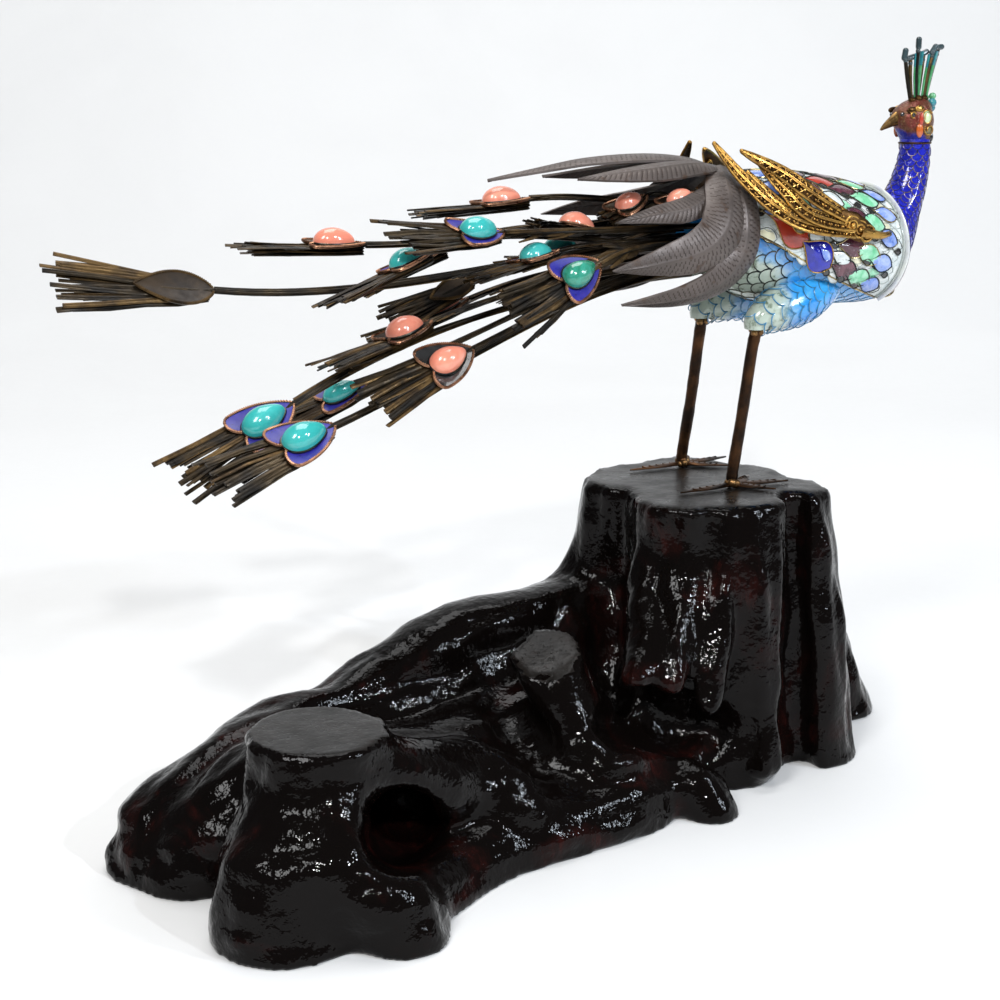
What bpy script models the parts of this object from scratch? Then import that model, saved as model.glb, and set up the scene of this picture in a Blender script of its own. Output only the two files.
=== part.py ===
# A peacock of enamelled and gilt silver wire that stands on a lacquered root-wood stand.
# Metres, +Z up. The bird heads along +X, its right side is -Y, and the origin is on the ground
# under the stump. Run with: blender --background --python part.py

from math import cos, pi, radians, sin

import bmesh
import bpy
from mathutils import Matrix, Vector

# Stand
STAND_LENGTH = 0.170
STAND_DEPTH = 0.090
STUMP_HEIGHT = 0.0545
ROOT_VOXEL = 0.0016  # fineness at which the roots are fused
KNOT_HEIGHT = 0.030  # sawn top of the big knot at the left end

# Bird
BIRD_LENGTH = 0.183  # breast to tail tip
LEG_WIRE = 0.0024
TOE_WIRE = 0.0014
ENAMEL_SHEET = 0.0008  # silver sheet of the cape, with its enamel
LEAF_SHEET = 0.0006  # oxidised leaves over the tail root
WING_THICKNESS = 0.0013

# Tail plumes
STEM_WIRE = 0.0011
PLATE_LENGTH = 0.0108
PLATE_WIDTH = 0.0088
BARB_LENGTH = 0.0140
BARB_WIDTH = 0.0007
PLUME_SHEET = 0.0008
STONE_LENGTH = 0.0076
STONE_WIDTH = 0.0052
STONE_RISE = 0.0026
LEAF_PLATE_STRETCH = 1.25  # a plume that ends in a plain leaf has a longer plate

FIT_GAP = 0.0003  # between pieces that touch
CAPE_LIFT = 0.0006  # gap between the cape and the body under it

# Both forms are drawn in millimetres at these sizes, and follow the real sizes above.
DRAWN_STAND = Vector((170.0, 90.0, 54.5))
DRAWN_BIRD = 183.0
BIRD_UNIT = BIRD_LENGTH / DRAWN_BIRD
UP = Vector((0, 0, 1))
SIDEWAYS = Vector((0, 1, 0))


def on_stand(x, y, z):
    return Vector(
        (
            x * STAND_LENGTH / DRAWN_STAND.x,
            y * STAND_DEPTH / DRAWN_STAND.y,
            z * STUMP_HEIGHT / DRAWN_STAND.z,
        )
    )


def on_bird(x, y, z):
    # z is drawn above the stump's sawn top
    return Vector((x, y, z)) * BIRD_UNIT + UP * STUMP_HEIGHT


def material(name, colour, roughness, metallic):
    made = bpy.data.materials.new(name)
    made.use_nodes = True
    shader = made.node_tree.nodes["Principled BSDF"]
    shader.inputs["Base Color"].default_value = (*colour, 1)
    shader.inputs["Roughness"].default_value = roughness
    shader.inputs["Metallic"].default_value = metallic
    return made


def add_object(name, bm, finish=None, smooth_angle=None):
    bmesh.ops.recalc_face_normals(bm, faces=bm.faces)
    mesh = bpy.data.meshes.new(name)
    bm.to_mesh(mesh)
    bm.free()
    if smooth_angle is not None:
        mesh.shade_smooth()
        mesh.set_sharp_from_angle(angle=radians(smooth_angle))
    made = bpy.data.objects.new(name, mesh)
    bpy.context.scene.collection.objects.link(made)
    if finish is not None:
        mesh.materials.append(finish)
    return made


def helper(name, bm):
    # a guide for a Boolean, not a piece
    made = add_object(name, bm)
    made.hide_render = True
    made.display_type = "WIRE"
    return made


def boolean(target, tool, operation):
    modifier = target.modifiers.new(tool.name, "BOOLEAN")
    modifier.operation = operation
    modifier.solver = "EXACT"
    modifier.object = tool


def solidify(target, thickness, offset):
    modifier = target.modifiers.new("sheet", "SOLIDIFY")
    modifier.thickness = thickness
    modifier.offset = offset
    modifier.use_even_offset = True


def loft(bm, rings):
    made = [[bm.verts.new(point) for point in ring] for ring in rings]
    for lower, upper in zip(made, made[1:]):
        count = len(lower)
        for i in range(count):
            j = (i + 1) % count
            bm.faces.new((lower[i], lower[j], upper[j], upper[i]))
    bm.faces.new(list(reversed(made[0])))
    bm.faces.new(made[-1])


def catmull(points, steps):
    # a smooth curve through the points, which may carry a radius as a fourth number
    path = []
    last = len(points) - 1
    for i in range(last):
        before, start = points[max(i - 1, 0)], points[i]
        end, after = points[i + 1], points[min(i + 2, last)]
        for step in range(steps):
            t = step / steps
            place = []
            for a, b, c, d in zip(before, start, end, after):
                square = 2 * a - 5 * b + 4 * c - d
                cube = 3 * b - a - 3 * c + d
                place.append(0.5 * (2 * b + (c - a) * t + square * t**2 + cube * t**3))
            path.append(place)
    path.append(list(points[last]))
    return path


def bezier(a, b, c, d, t):
    s = 1 - t
    return a * s**3 + b * (3 * s * s * t) + c * (3 * s * t * t) + d * t**3


def tube(bm, points, radii, sides, flatness=1.0):
    # rings square to the path; flatness squashes them along their second axis
    rings = []
    side = None
    last = len(points) - 1
    for i, point in enumerate(points):
        tangent = (points[min(i + 1, last)] - points[max(i - 1, 0)]).normalized()
        if side is None:
            guide = SIDEWAYS if abs(tangent.dot(SIDEWAYS)) < 0.9 else UP
            side = tangent.cross(guide)
        side = (side - tangent * side.dot(tangent)).normalized()
        across = tangent.cross(side)
        rings.append(
            [
                point
                + side * (radii[i] * cos(2 * pi * k / sides))
                + across * (radii[i] * flatness * sin(2 * pi * k / sides))
                for k in range(sides)
            ]
        )
    loft(bm, rings)


# Stand: each limb is a row of centres with a radius, drawn in millimetres on DRAWN_STAND.
STUMP_LIMBS = {
    "heartwood": [(0, 0, -6, 22), (0, 0, 25, 18), (0, 0, 62, 16)],
    "front column left": [(-12, -11, -6, 12), (-10.5, -9, 25, 10.5), (-9.0, -7.4, 62, 11)],
    "front column right": [(-6, -15, -6, 12), (-3, -12.5, 25, 12), (-0.7, -9.4, 62, 12)],
    "right buttress": [(16, -16.4, -6, 11), (15.6, -15.6, 10, 9.5), (15, -14, 27, 9), (11.4, -8.3, 62, 9)],
    "left buttress": [(-24, 15, -6, 13), (-18.4, 14, 25, 9), (-14.4, 11, 42, 7.6), (-12, 9.6, 62, 8)],
    "back buttress": [(14, 17, -6, 14), (9, 15, 25, 11), (4.6, 13.6, 62, 10)],
    "back column": [(-12, 22, -6, 13), (-8, 17, 25, 10), (-5, 12.5, 62, 9)],
    "right column": [(22, 4, -6, 12), (15, 4, 25, 10), (11.2, 3.5, 62, 9)],
    "right root": [(18, 1, 38, 7), (26, 1.5, 28, 7.5), (31, 2, 13, 8.5), (36.5, 1, -6, 11)],
}
CREEPING_ROOTS = {
    "ridge": [
        (-14, 12, 26, 10),
        (-34, 9, 25, 9.5),
        (-50, 9, 24.5, 9.5),
        (-64, 8, 19, 9.5),
        (-76, 5, 14.5, 9.5),
        (-88, 2, 13.5, 10),
        (-100, -1, 9, 10.5),
        (-112, -3, 4.5, 10),
        (-117, -5, -3, 7.5),
    ],
    "ridge foot": [(-20, 16, 8, 14), (-50, 13, 7, 13), (-78, 7, 4, 12), (-100, 0, 0, 12)],
    "sawn knot": [
        (-95, -29, 36, 11.5),
        (-95.5, -29.5, 25, 11.2),
        (-98, -32, 15, 11.5),
        (-103, -36, 6, 12),
        (-104, -37, -6, 12.5),
    ],
    "knot foot": [(-97, -38, 14, 9), (-92, -44, 7, 8.5), (-88.5, -47, 2, 7.5), (-88, -48, -5, 7)],
    "knot shoulder": [(-92, -20, 16, 10), (-99, -13, 12, 10), (-109, -12, 4, 9.5), (-113, -12, -4, 8)],
    "bridge": [(-92, -31, 23, 8.5), (-82, -31, 19.5, 7), (-72, -27, 15, 7.5)],
    "front foot": [
        (-88, -42, 1, 8),
        (-76, -35, 0, 8),
        (-64, -29, 1, 9),
        (-48, -28, 2, 8.5),
        (-32, -27, 2, 7),
    ],
    "ledge": [(-90, -20, 13, 9), (-76, -14, 13.5, 7.5), (-60, -13.5, 13, 7.2), (-48, -12, 12, 7)],
    "middle": [(-84, -24, 3, 9), (-68, -22, 4, 10), (-52, -20, 4, 10), (-36, -18, 4, 10), (-20, -17, 2, 9)],
    "nose": [(-72, -18, 13.5, 6.5), (-65, -25, 13.5, 6.8), (-58, -29, 9, 6.5)],
    "fill": [(-92, -12, 3, 12), (-60, -4, 4, 14), (-30, 0, 4, 18), (-8, 0, 4, 16)],
    "small knot": [
        (-45, -15, 38, 6.9),
        (-43.4, -16, 25, 6.6),
        (-39.5, -20, 14, 8.2),
        (-36.5, -24, 5, 9.6),
        (-36, -25, -4, 9),
    ],
    "front lobe": [(-34, -20, 8, 7), (-26, -25, 6, 6), (-19.5, -31, 3, 5.4), (-18.5, -32.5, -4, 5.4)],
}
ROOT_SIDES = 12
ROOT_STEPS = 3
HOLLOWS = {
    "hole under the bridge": [
        (-88.5, -49, 19, 6.3),
        (-84.6, -40, 14.6, 6.4),
        (-80, -30, 10.5, 6.4),
        (-76, -22, 9.5, 5),
    ],
    "hollow in the stump": [(-22, 0, 66, 4.4), (-22, -1, 40, 4.8), (-24, -4, 22, 4.4), (-26, -10, 14, 3)],
    "hollow at the stump's foot": [
        (-36, -28, 20, 4.5),
        (-27, -21, 16.5, 6.6),
        (-17, -23, 13, 6.2),
        (-10, -29, 11.5, 4.4),
    ],
    "groove in the stump": [(9.6, -16.6, 66, 2.4), (9.4, -19.6, 28, 2.6), (9.4, -24, -4, 3)],
    "trough": [(-100, -9, 30, 4), (-82, -5, 24, 5), (-60, -4, 25, 5.5), (-40, -3, 28, 5.5), (-28, 0, 33, 4)],
    "valley": [(-53, -38, 17, 3.5), (-51, -27, 16, 4), (-52, -18, 19, 4), (-50, -8, 22, 4)],
}
SMALL_KNOT_CUT = (-44.5, -15, 30.5)
SMALL_KNOT_TILT = (16, -20)  # degrees about x and then y


def limb(bm, rows, steps):
    path = catmull(rows, steps)
    plan_scale = STAND_DEPTH / DRAWN_STAND.y
    tube(bm, [on_stand(*row[:3]) for row in path], [row[3] * plan_scale for row in path], ROOT_SIDES)


def saw(name, centre, size, tilt=(0, 0)):
    bm = bmesh.new()
    turned = Matrix.Rotation(tilt[1], 4, "Y") @ Matrix.Rotation(tilt[0], 4, "X")
    place = Matrix.Translation(centre) @ turned @ Matrix.Diagonal((*size, 1))
    bmesh.ops.create_cube(bm, size=1, matrix=place)
    return helper(name, bm)


def make_stand(wood):
    bm = bmesh.new()
    for rows in (*STUMP_LIMBS.values(), *CREEPING_ROOTS.values()):
        limb(bm, rows, ROOT_STEPS)
    stand = add_object("root_stand", bm, wood)

    fuse = stand.modifiers.new("fuse roots", "REMESH")
    fuse.mode = "VOXEL"
    fuse.voxel_size = ROOT_VOXEL
    for name, rows in HOLLOWS.items():
        bm = bmesh.new()
        limb(bm, rows, ROOT_STEPS)
        boolean(stand, helper(name, bm), "DIFFERENCE")
    fuse = stand.modifiers.new("fuse again", "REMESH")
    fuse.mode = "VOXEL"
    fuse.voxel_size = ROOT_VOXEL
    smooth = stand.modifiers.new("worn", "SMOOTH")
    smooth.factor = 0.5
    smooth.iterations = 5
    facets = stand.modifiers.new("facets", "DECIMATE")
    facets.ratio = 0.0455

    # flat cuts: the floor under the stand, the stump's top and the two sawn knots
    reach = 2 * STAND_LENGTH
    slab = 0.04
    boolean(stand, saw("floor cut", (0, 0, -slab / 2), (reach, reach, slab)), "DIFFERENCE")
    boolean(stand, saw("stump cut", (0, 0, STUMP_HEIGHT + slab / 2), (reach, reach, slab)), "DIFFERENCE")
    knot = on_stand(-95, -29, 0)
    knot.z = KNOT_HEIGHT + slab / 2
    boolean(stand, saw("knot cut", knot, (0.036, 0.036, slab)), "DIFFERENCE")
    small_knot = on_stand(*SMALL_KNOT_CUT)
    tilt = tuple(radians(turn) for turn in SMALL_KNOT_TILT)
    lean = Matrix.Rotation(tilt[1], 3, "Y") @ Matrix.Rotation(tilt[0], 3, "X") @ UP
    saw_width = 0.022
    small_cut = saw("small knot cut", small_knot + lean * saw_width / 2, (saw_width,) * 3, tilt)
    boolean(stand, small_cut, "DIFFERENCE")
    return stand


# Body sections, drawn in millimetres: x, height of the centre above the stump, half width, half height
BODY_SECTIONS = [
    (-5.0, 49.0, 7.0, 7.7),
    (-1.0, 49.3, 7.6, 7.8),
    (4.0, 48.6, 9.8, 10.4),
    (10.0, 47.8, 11.4, 12.0),
    (18.0, 46.9, 12.6, 12.5),
    (28.0, 46.1, 13.0, 11.8),
    (36.0, 45.2, 12.8, 11.0),
    (38.8, 45.3, 12.0, 10.6),
    (40.8, 45.6, 9.8, 9.8),
]
BODY_SIDES = 16
COLLAR_X = 40.8
CAPE_START = 2.0
CAPE_SETBACK = 0.5  # from the collar
CAPE_COLUMNS = 14

THIGH_PATH = [
    (24.0, 4.6, 37.0, 5.6),
    (16.0, 7.2, 36.0, 5.2),
    (9.0, 8.8, 34.6, 3.9),
    (5.5, 9.1, 33.2, 2.8),
    (5.1, 9.1, 31.6, 2.3),
]
# the legs lean to the left as they come down to the stump
LEG_PATHS = {
    "right": [(4.4, 8.8, 27.0), (3.4, 7.9, 15.0), (2.4, 6.8, 3.4)],
    "left": [(5.0, 9.8, 27.0), (4.8, 11.6, 15.0), (4.4, 13.6, 3.4)],
}
TOES = [(48, 8.6), (8, 12.5), (-34, 9.5), (178, 12.5)]  # heading away from the body and length


def body_section(x):
    # half sizes and centre at any x, between the drawn sections
    for a, b in zip(BODY_SECTIONS, BODY_SECTIONS[1:]):
        if x <= b[0]:
            t = (x - a[0]) / (b[0] - a[0])
            return tuple(p + (q - p) * t for p, q in zip(a, b))
    return BODY_SECTIONS[-1]


def mirrored(rows, side):
    return [(row[0], row[1] * side, *row[2:]) for row in rows]


def make_body(enamel):
    bm = bmesh.new()
    rings = []
    for x, middle, half_width, half_height in BODY_SECTIONS:
        rings.append(
            [
                on_bird(
                    x,
                    half_width * sin(2 * pi * k / BODY_SIDES),
                    middle + half_height * cos(2 * pi * k / BODY_SIDES),
                )
                for k in range(BODY_SIDES)
            ]
        )
    loft(bm, rings)
    body = add_object("body_shell", bm, enamel, 50)
    for side, label in ((-1, "right"), (1, "left")):
        bm = bmesh.new()
        path = catmull(mirrored(THIGH_PATH, side), 2)
        points = [on_bird(*row[:3]) for row in path]
        tube(bm, points, [row[3] * BIRD_UNIT for row in path], 10)
        boolean(body, helper(f"thigh {label}", bm), "UNION")
    return body


def cape_edge(x):
    # angle from the top of the back down to the lower edge of the cape
    return radians(min(80 + 1.75 * x, 140))


def make_cape(enamel):
    # rows stand on the body's own sections, so that the two run parallel
    inner = [section[0] for section in BODY_SECTIONS if CAPE_START < section[0] < COLLAR_X]
    bm = bmesh.new()
    grid = []
    for x in (CAPE_START, *inner, COLLAR_X - CAPE_SETBACK):
        _, middle, half_width, half_height = body_section(x)
        edge = cape_edge(x)
        sag = half_height * (1 - cos(edge / CAPE_COLUMNS))
        clearance = CAPE_LIFT / BIRD_UNIT + sag
        row = []
        for j in range(CAPE_COLUMNS + 1):
            angle = edge * (2 * j / CAPE_COLUMNS - 1)
            y = (half_width + clearance) * sin(angle)
            z = middle + (half_height + clearance) * cos(angle)
            row.append(bm.verts.new(on_bird(x, y, z)))
        grid.append(row)
    for lower, upper in zip(grid, grid[1:]):
        for j in range(CAPE_COLUMNS):
            bm.faces.new((lower[j], lower[j + 1], upper[j + 1], upper[j]))
    cape = add_object("feather_cape", bm, enamel, 50)
    crown = cape.data.polygons[CAPE_COLUMNS // 2]
    if crown.normal.z < 0:
        cape.data.flip_normals()
    solidify(cape, ENAMEL_SHEET, 1)
    return cape


# Neck rings, drawn in millimetres: centre x and z, lean of the ring from upright, half width, half depth
NECK_RINGS = [
    (41.1, 45.6, 90, 9.7, 9.7),
    (43.0, 46.6, 84, 7.7, 8.3),
    (45.2, 49.6, 48, 5.9, 5.6),
    (47.1, 53.1, 26, 4.4, 4.4),
    (48.8, 56.8, 13, 3.8, 3.8),
    (49.8, 60.6, 5, 3.35, 3.45),
    (50.3, 63.8, 0, 3.1, 3.2),
    (50.1, 66.4, 0, 3.0, 3.1),
]
NECK_SIDES = 12
HEAD_RINGS = [
    (50.0, 0.0, 3.0, 3.1),
    (49.9, 1.6, 3.6, 3.8),
    (49.4, 3.6, 3.9, 4.5),
    (49.4, 5.6, 3.6, 4.3),
    (50.0, 7.2, 2.4, 3.0),
    (50.4, 8.0, 1.3, 1.6),
]
HEAD_BASE = 66.4
BEAK = [(48.2, 70.0, 2.0), (45.6, 69.8, 1.5), (43.4, 69.2, 0.9), (41.0, 68.0, 0.25)]
CREST_TIPS = [(45.9, 83.6), (48.2, 83.0), (49.7, 86.1), (51.7, 83.9), (53.3, 84.6), (55.4, 85.4)]
CREST_WIRE = 0.55
CREST_HUB = (48.9, 52.3, 75.0, 76.4)  # left, right, bottom and top of the gathered wires


def make_neck(enamel):
    bm = bmesh.new()
    rings = []
    for x, z, lean, half_width, half_depth in NECK_RINGS:
        across = Vector((cos(radians(lean)), 0, -sin(radians(lean)))) * half_depth * BIRD_UNIT
        out = SIDEWAYS * half_width * BIRD_UNIT
        rings.append(
            [
                on_bird(x, 0, z) + across * cos(turn) + out * sin(turn)
                for turn in (2 * pi * k / NECK_SIDES for k in range(NECK_SIDES))
            ]
        )
    loft(bm, rings)
    return add_object("neck_and_breast", bm, enamel, 50)


def make_head(copper):
    bm = bmesh.new()
    base = HEAD_BASE + FIT_GAP / BIRD_UNIT
    rings = []
    for x, rise, half_width, half_depth in HEAD_RINGS:
        rings.append(
            [
                on_bird(
                    x + half_depth * cos(2 * pi * k / NECK_SIDES),
                    half_width * sin(2 * pi * k / NECK_SIDES),
                    base + rise,
                )
                for k in range(NECK_SIDES)
            ]
        )
    loft(bm, rings)
    head = add_object("head", bm, copper, 60)
    bm = bmesh.new()
    tube(bm, [on_bird(x, 0, z) for x, z, _ in BEAK], [r * BIRD_UNIT for _, _, r in BEAK], 8, 0.8)
    boolean(head, helper("beak", bm), "UNION")
    return head


def make_crest(bronze):
    # flat fan: a hub that rests on the head, and one tapered wire to each tip
    bm = bmesh.new()
    left, right, bottom, top = CREST_HUB
    bottom += FIT_GAP / BIRD_UNIT
    count = len(CREST_TIPS)
    roots = [left + (right - left) * k / (2 * count - 1) for k in range(2 * count)]
    upper = [bm.verts.new(on_bird(x, 0, top)) for x in roots]
    low_left = bm.verts.new(on_bird(left + 0.7, 0, bottom))
    low_right = bm.verts.new(on_bird(right - 0.7, 0, bottom))
    bm.faces.new((low_left, low_right, *reversed(upper)))
    for k, (x, z) in enumerate(CREST_TIPS):
        tip_left = bm.verts.new(on_bird(x - CREST_WIRE, 0, z))
        tip_right = bm.verts.new(on_bird(x + CREST_WIRE, 0, z))
        bm.faces.new((upper[2 * k], upper[2 * k + 1], tip_right, tip_left))
    crest = add_object("crest", bm, bronze)
    solidify(crest, 2 * CREST_WIRE * BIRD_UNIT, 0)
    return crest


def make_leg(label, side, bronze):
    knee = THIGH_PATH[-1]
    rows = [(knee[0], knee[1], knee[2] - FIT_GAP / BIRD_UNIT), *LEG_PATHS[label]]
    points = [on_bird(x, y * side, z) for x, y, z in rows]
    ankle = points[-1].copy()
    ankle.z = STUMP_HEIGHT + FIT_GAP + TOE_WIRE * 0.7
    points.append(ankle)
    bm = bmesh.new()
    tube(bm, points, [LEG_WIRE / 2] * len(points), 8)
    leg = add_object(f"leg_{label}", bm, bronze, 40)
    for k, (heading, length) in enumerate(TOES):
        turn = radians(heading)
        along = Vector((cos(turn), sin(turn) * side, 0)) * length * BIRD_UNIT
        lift = Vector((0, 0, TOE_WIRE * 0.05 * k))
        toe = [ankle - along * 0.03 + lift, ankle + along * 0.5, ankle + along]
        bm = bmesh.new()
        tube(bm, toe, [TOE_WIRE * 0.52, TOE_WIRE / 2, TOE_WIRE / 3], 6)
        boolean(leg, helper(f"{label} toe {k}", bm), "UNION")
    return leg


# Wing leaves, drawn in millimetres: middle line from the shoulder to the tip, width of the leaf
WING_HOOK = [(20.5, 15.6, 50.6, 2.6), (26.0, 15.6, 49.2, 1.9), (31.0, 14.9, 48.8, 0.8)]
WING_LEAVES = [
    ([(22.2, 15.8, 49.4), (7.5, 16.4, 52.8), (0.4, 11.4, 59.2), (-2.5, 4.0, 66.2)], 3.6),
    ([(23.4, 15.4, 50.6), (11.6, 16.2, 53.5), (7.4, 13.3, 58.0), (5.2, 8.0, 62.4)], 3.8),
    ([(22.4, 15.1, 49.8), (9.2, 16.4, 52.2), (4.5, 13.6, 56.3), (1.5, 9.4, 61.0)], 3.8),
    ([(24.0, 15.2, 51.2), (13.5, 14.6, 56.8), (8.5, 11.0, 61.0), (2.4, 6.0, 64.8)], 4.2),
]
LEAF_SHAPE = [0.45, 0.8, 1.0, 0.95, 0.8, 0.5, 0.14]
WING_OUTWARD = Vector((0, 0.72, 0.69))


def make_wing(label, side, gilt):
    bm = bmesh.new()
    hook = [on_bird(x, y * side, z) for x, y, z, _ in WING_HOOK]
    tube(bm, hook, [row[3] * BIRD_UNIT for row in WING_HOOK], 8, 0.35)
    wing = add_object(f"wing_{label}", bm, gilt, 40)
    for k, (rows, width) in enumerate(WING_LEAVES):
        line = [Vector(row) for row in catmull(rows, 2)]
        rings = []
        for step, share in enumerate(LEAF_SHAPE):
            centre = line[step]
            ahead = (line[min(step + 1, len(line) - 1)] - line[max(step - 1, 0)]).normalized()
            across = ahead.cross(WING_OUTWARD).normalized() * (width / 2 * share)
            rise = across.cross(ahead).normalized() * (WING_THICKNESS / BIRD_UNIT / 2)
            if rise.y < 0:
                rise.negate()
            ring = [centre + across, centre + rise, centre - across, centre - rise]
            rings.append([on_bird(p.x, p.y * side, p.z) for p in ring])
        bm = bmesh.new()
        loft(bm, rings)
        boolean(wing, helper(f"{label} wing leaf {k}", bm), "UNION")
    return wing


# Leaves over the tail root, drawn in millimetres: root, tip, width, outward bow
COVERTS = {
    "covert_top": ((2.0, 0.0, 61.1), (-48.0, -0.5, 60.6), 7.0, 5.2),
    "covert_upper": ((2.5, 6.2, 59.8), (-33.5, 6.4, 60.6), 7.6, 3.2),
    "covert_side": ((1.5, 10.4, 55.2), (-30.5, 13.4, 50.2), 9.6, 2.4),
    "covert_lower": ((1.0, 12.2, 49.8), (-32.5, 17.2, 44.8), 10.4, 2.8),
    "covert_under": ((-1.0, 7.8, 41.2), (-28.8, 14.0, 38.2), 9.4, 0.6),
}
COVERT_SHAPE = [0.62, 0.84, 1.0, 0.98, 0.80, 0.50, 0.06]
RUMP_CENTRE = Vector((0, 0, 49.5))


def make_covert(name, rows, side, silver):
    root, tip, width, bow = rows
    root = Vector(root)
    tip = Vector(tip)
    middle = root.lerp(tip, 0.5)
    outward = middle - RUMP_CENTRE
    outward.x = 0
    outward.normalize()
    across = (tip - root).normalized().cross(outward).normalized()
    bm = bmesh.new()
    rows_made = []
    last = len(COVERT_SHAPE) - 1
    for step, share in enumerate(COVERT_SHAPE):
        t = step / last
        half = width / 2 * share
        centre = root.lerp(tip, t) + outward * bow * 4 * t * (1 - t)
        curl = outward * half * 0.28
        row = [centre + across * half - curl, centre, centre - across * half - curl]
        rows_made.append([bm.verts.new(on_bird(p.x, p.y * side, p.z)) for p in row])
    for lower, upper in zip(rows_made, rows_made[1:]):
        for j in range(2):
            bm.faces.new((lower[j], lower[j + 1], upper[j + 1], upper[j]))
    leaf = add_object(name, bm, silver, 40)
    solidify(leaf, LEAF_SHEET, 0)
    return leaf


# Tail plumes, drawn in millimetres: where the stem leaves the rump (y, z), where the plate starts
# (x, y, z), its yaw to the right, pitch down and roll to the right in degrees, the share of the full
# plate and of the full barbs, and what it carries
PLUMES = [
    ((1.0, 49.0), (-99.4, 0.0, 43.5), (0, -8, 42), 1.0, 1.1, "leaf"),
    ((4.8, 52.6), (-69.5, 6.0, 49.5), (-8, -2, 4), 1.0, 1.0, "coral"),
    ((-6.3, 51.4), (-50.0, -9.2, 51.8), (12, -3, 26), 1.0, 1.0, "turquoise"),
    ((3.4, 55.2), (-37.0, 4.8, 56.5), (-5, 4, 0), 1.0, 1.0, "coral"),
    ((0.8, 52.2), (-24.6, -0.4, 50.2), (2, -12, -4), 1.0, 0.4, "coral"),
    ((-0.2, 55.4), (-15.4, -1.2, 56.8), (8, 19, 12), 0.8, 0.2, "coral"),
    ((-5.2, 53.6), (-8.6, -7.4, 57.4), (9, 16, 14), 0.75, 0.2, "coral"),
    ((-6.5, 47.8), (-34.0, -15.0, 46.5), (17, 18, 52), 1.0, 1.0, "green"),
    ((-4.9, 48.8), (-37.6, -7.0, 48.0), (9, 9, -6), 0.9, 0.9, "turquoise"),
    ((4.2, 49.6), (-24.4, 6.0, 47.2), (-8, 5, 0), 0.9, 0.5, "turquoise"),
    ((-2.0, 47.8), (-63.0, -7.0, 48.8), (11, 17, -8), 0.9, 1.0, "turquoise"),
    ((6.5, 50.4), (-52.0, 9.4, 47.8), (-14, 24, -6), 0.8, 0.9, "turquoise"),
    ((-5.2, 44.8), (-58.5, -14.0, 32.8), (13, 16, 42), 1.0, 1.0, "coral"),
    ((-2.6, 44.6), (-61.6, -4.4, 36.6), (8, 15, 0), 1.0, 1.0, "coral"),
    ((3.4, 45.4), (-48.5, 7.0, 38.5), (-11, 19, 4), 1.0, 0.8, "coral"),
    ((-1.6, 41.8), (-89.0, -8.0, 25.0), (10, 24, 30), 1.1, 1.0, "turquoise"),
    ((-3.8, 42.8), (-85.0, -16.0, 22.3), (13, 14, 28), 1.1, 1.0, "turquoise"),
    ((0.8, 44.0), (-72.0, 0.0, 25.8), (-10, 20, 20), 0.9, 1.0, "turquoise"),
    ((1.2, 46.8), (-49.3, 3.2, 42.5), (-8, 20, 40), 0.66, 0.8, "leaf"),
]
RUMP_X = BODY_SECTIONS[0][0]
STEM_STEPS = 6
BARBS = 7
BARB_SPREAD = 13  # degrees to each side


def heart_end(v):
    # where the lobed end of a plate lies, as a share of its length; v runs from -1 to 1
    lobes = sin(pi * min(abs(v) * 1.06, 1.0)) ** 0.8
    return 0.80 + 0.20 * lobes


class Plume:
    # place, axes and sizes of one plume
    def __init__(self, root, start, turns, size, barbs, kind):
        self.root = on_bird(RUMP_X, *root) - Vector((FIT_GAP, 0, 0))
        self.start = on_bird(*start)
        self.kind = kind
        self.length = PLATE_LENGTH * size * (LEAF_PLATE_STRETCH if kind == "leaf" else 1)
        self.width = PLATE_WIDTH * size
        self.barbs = BARB_LENGTH * barbs
        self.stone = Vector((STONE_LENGTH, STONE_WIDTH, STONE_RISE)) * size
        yaw, pitch, roll = (radians(turn) for turn in turns)
        self.along = Vector((-cos(pitch) * cos(yaw), -cos(pitch) * sin(yaw), -sin(pitch)))
        level = self.along.cross(UP).normalized()
        self.normal = level.cross(self.along) * cos(roll) - level * sin(roll)
        self.across = self.along.cross(self.normal)

    def at(self, u, v, n=0.0):
        return self.start + self.along * u + self.across * v + self.normal * n

    def stem(self, t):
        reach = (self.start - self.root).length / 3
        leave = self.root + Vector((-1, 0, -0.04)).normalized() * reach
        return bezier(self.root, leave, self.start - self.along * reach, self.start, t)


def make_plume(name, plume, bronze):
    bm = bmesh.new()
    rows = []
    for step in range(STEM_STEPS):
        t = step / STEM_STEPS
        across = SIDEWAYS.lerp(plume.across, t).normalized() * STEM_WIRE / 2
        rows.append([bm.verts.new(plume.stem(t) - across), bm.verts.new(plume.stem(t) + across)])
    for share, width in ((0.0, STEM_WIRE), (0.36, plume.width * 0.68), (0.70, plume.width)):
        u = share * plume.length
        rows.append([bm.verts.new(plume.at(u, -width / 2)), bm.verts.new(plume.at(u, width / 2))])
    for lower, upper in zip(rows, rows[1:]):
        bm.faces.new((lower[0], lower[1], upper[1], upper[0]))

    count = 2 * BARBS
    edge = []
    for k in range(count):
        v = -1 + 2 * (k + 0.5) / count
        edge.append(bm.verts.new(plume.at(heart_end(v) * plume.length, v * plume.width / 2 * 0.97)))
    bm.faces.new((rows[-1][0], rows[-1][1], *reversed(edge)))
    for k in range(BARBS):
        a, b = edge[2 * k], edge[2 * k + 1]
        turn = radians(BARB_SPREAD) * (-1 + 2 * (k + 0.5) / BARBS)
        length = plume.barbs * (0.86 + 0.14 * cos(2.4 * k))
        tip = (a.co + b.co) / 2 + (plume.along * cos(turn) + plume.across * sin(turn)) * length
        half = plume.across * BARB_WIDTH / 2
        bm.faces.new((a, b, bm.verts.new(tip + half), bm.verts.new(tip - half)))
    made = add_object(name, bm, bronze)
    solidify(made, PLUME_SHEET, 0)
    return made


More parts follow.
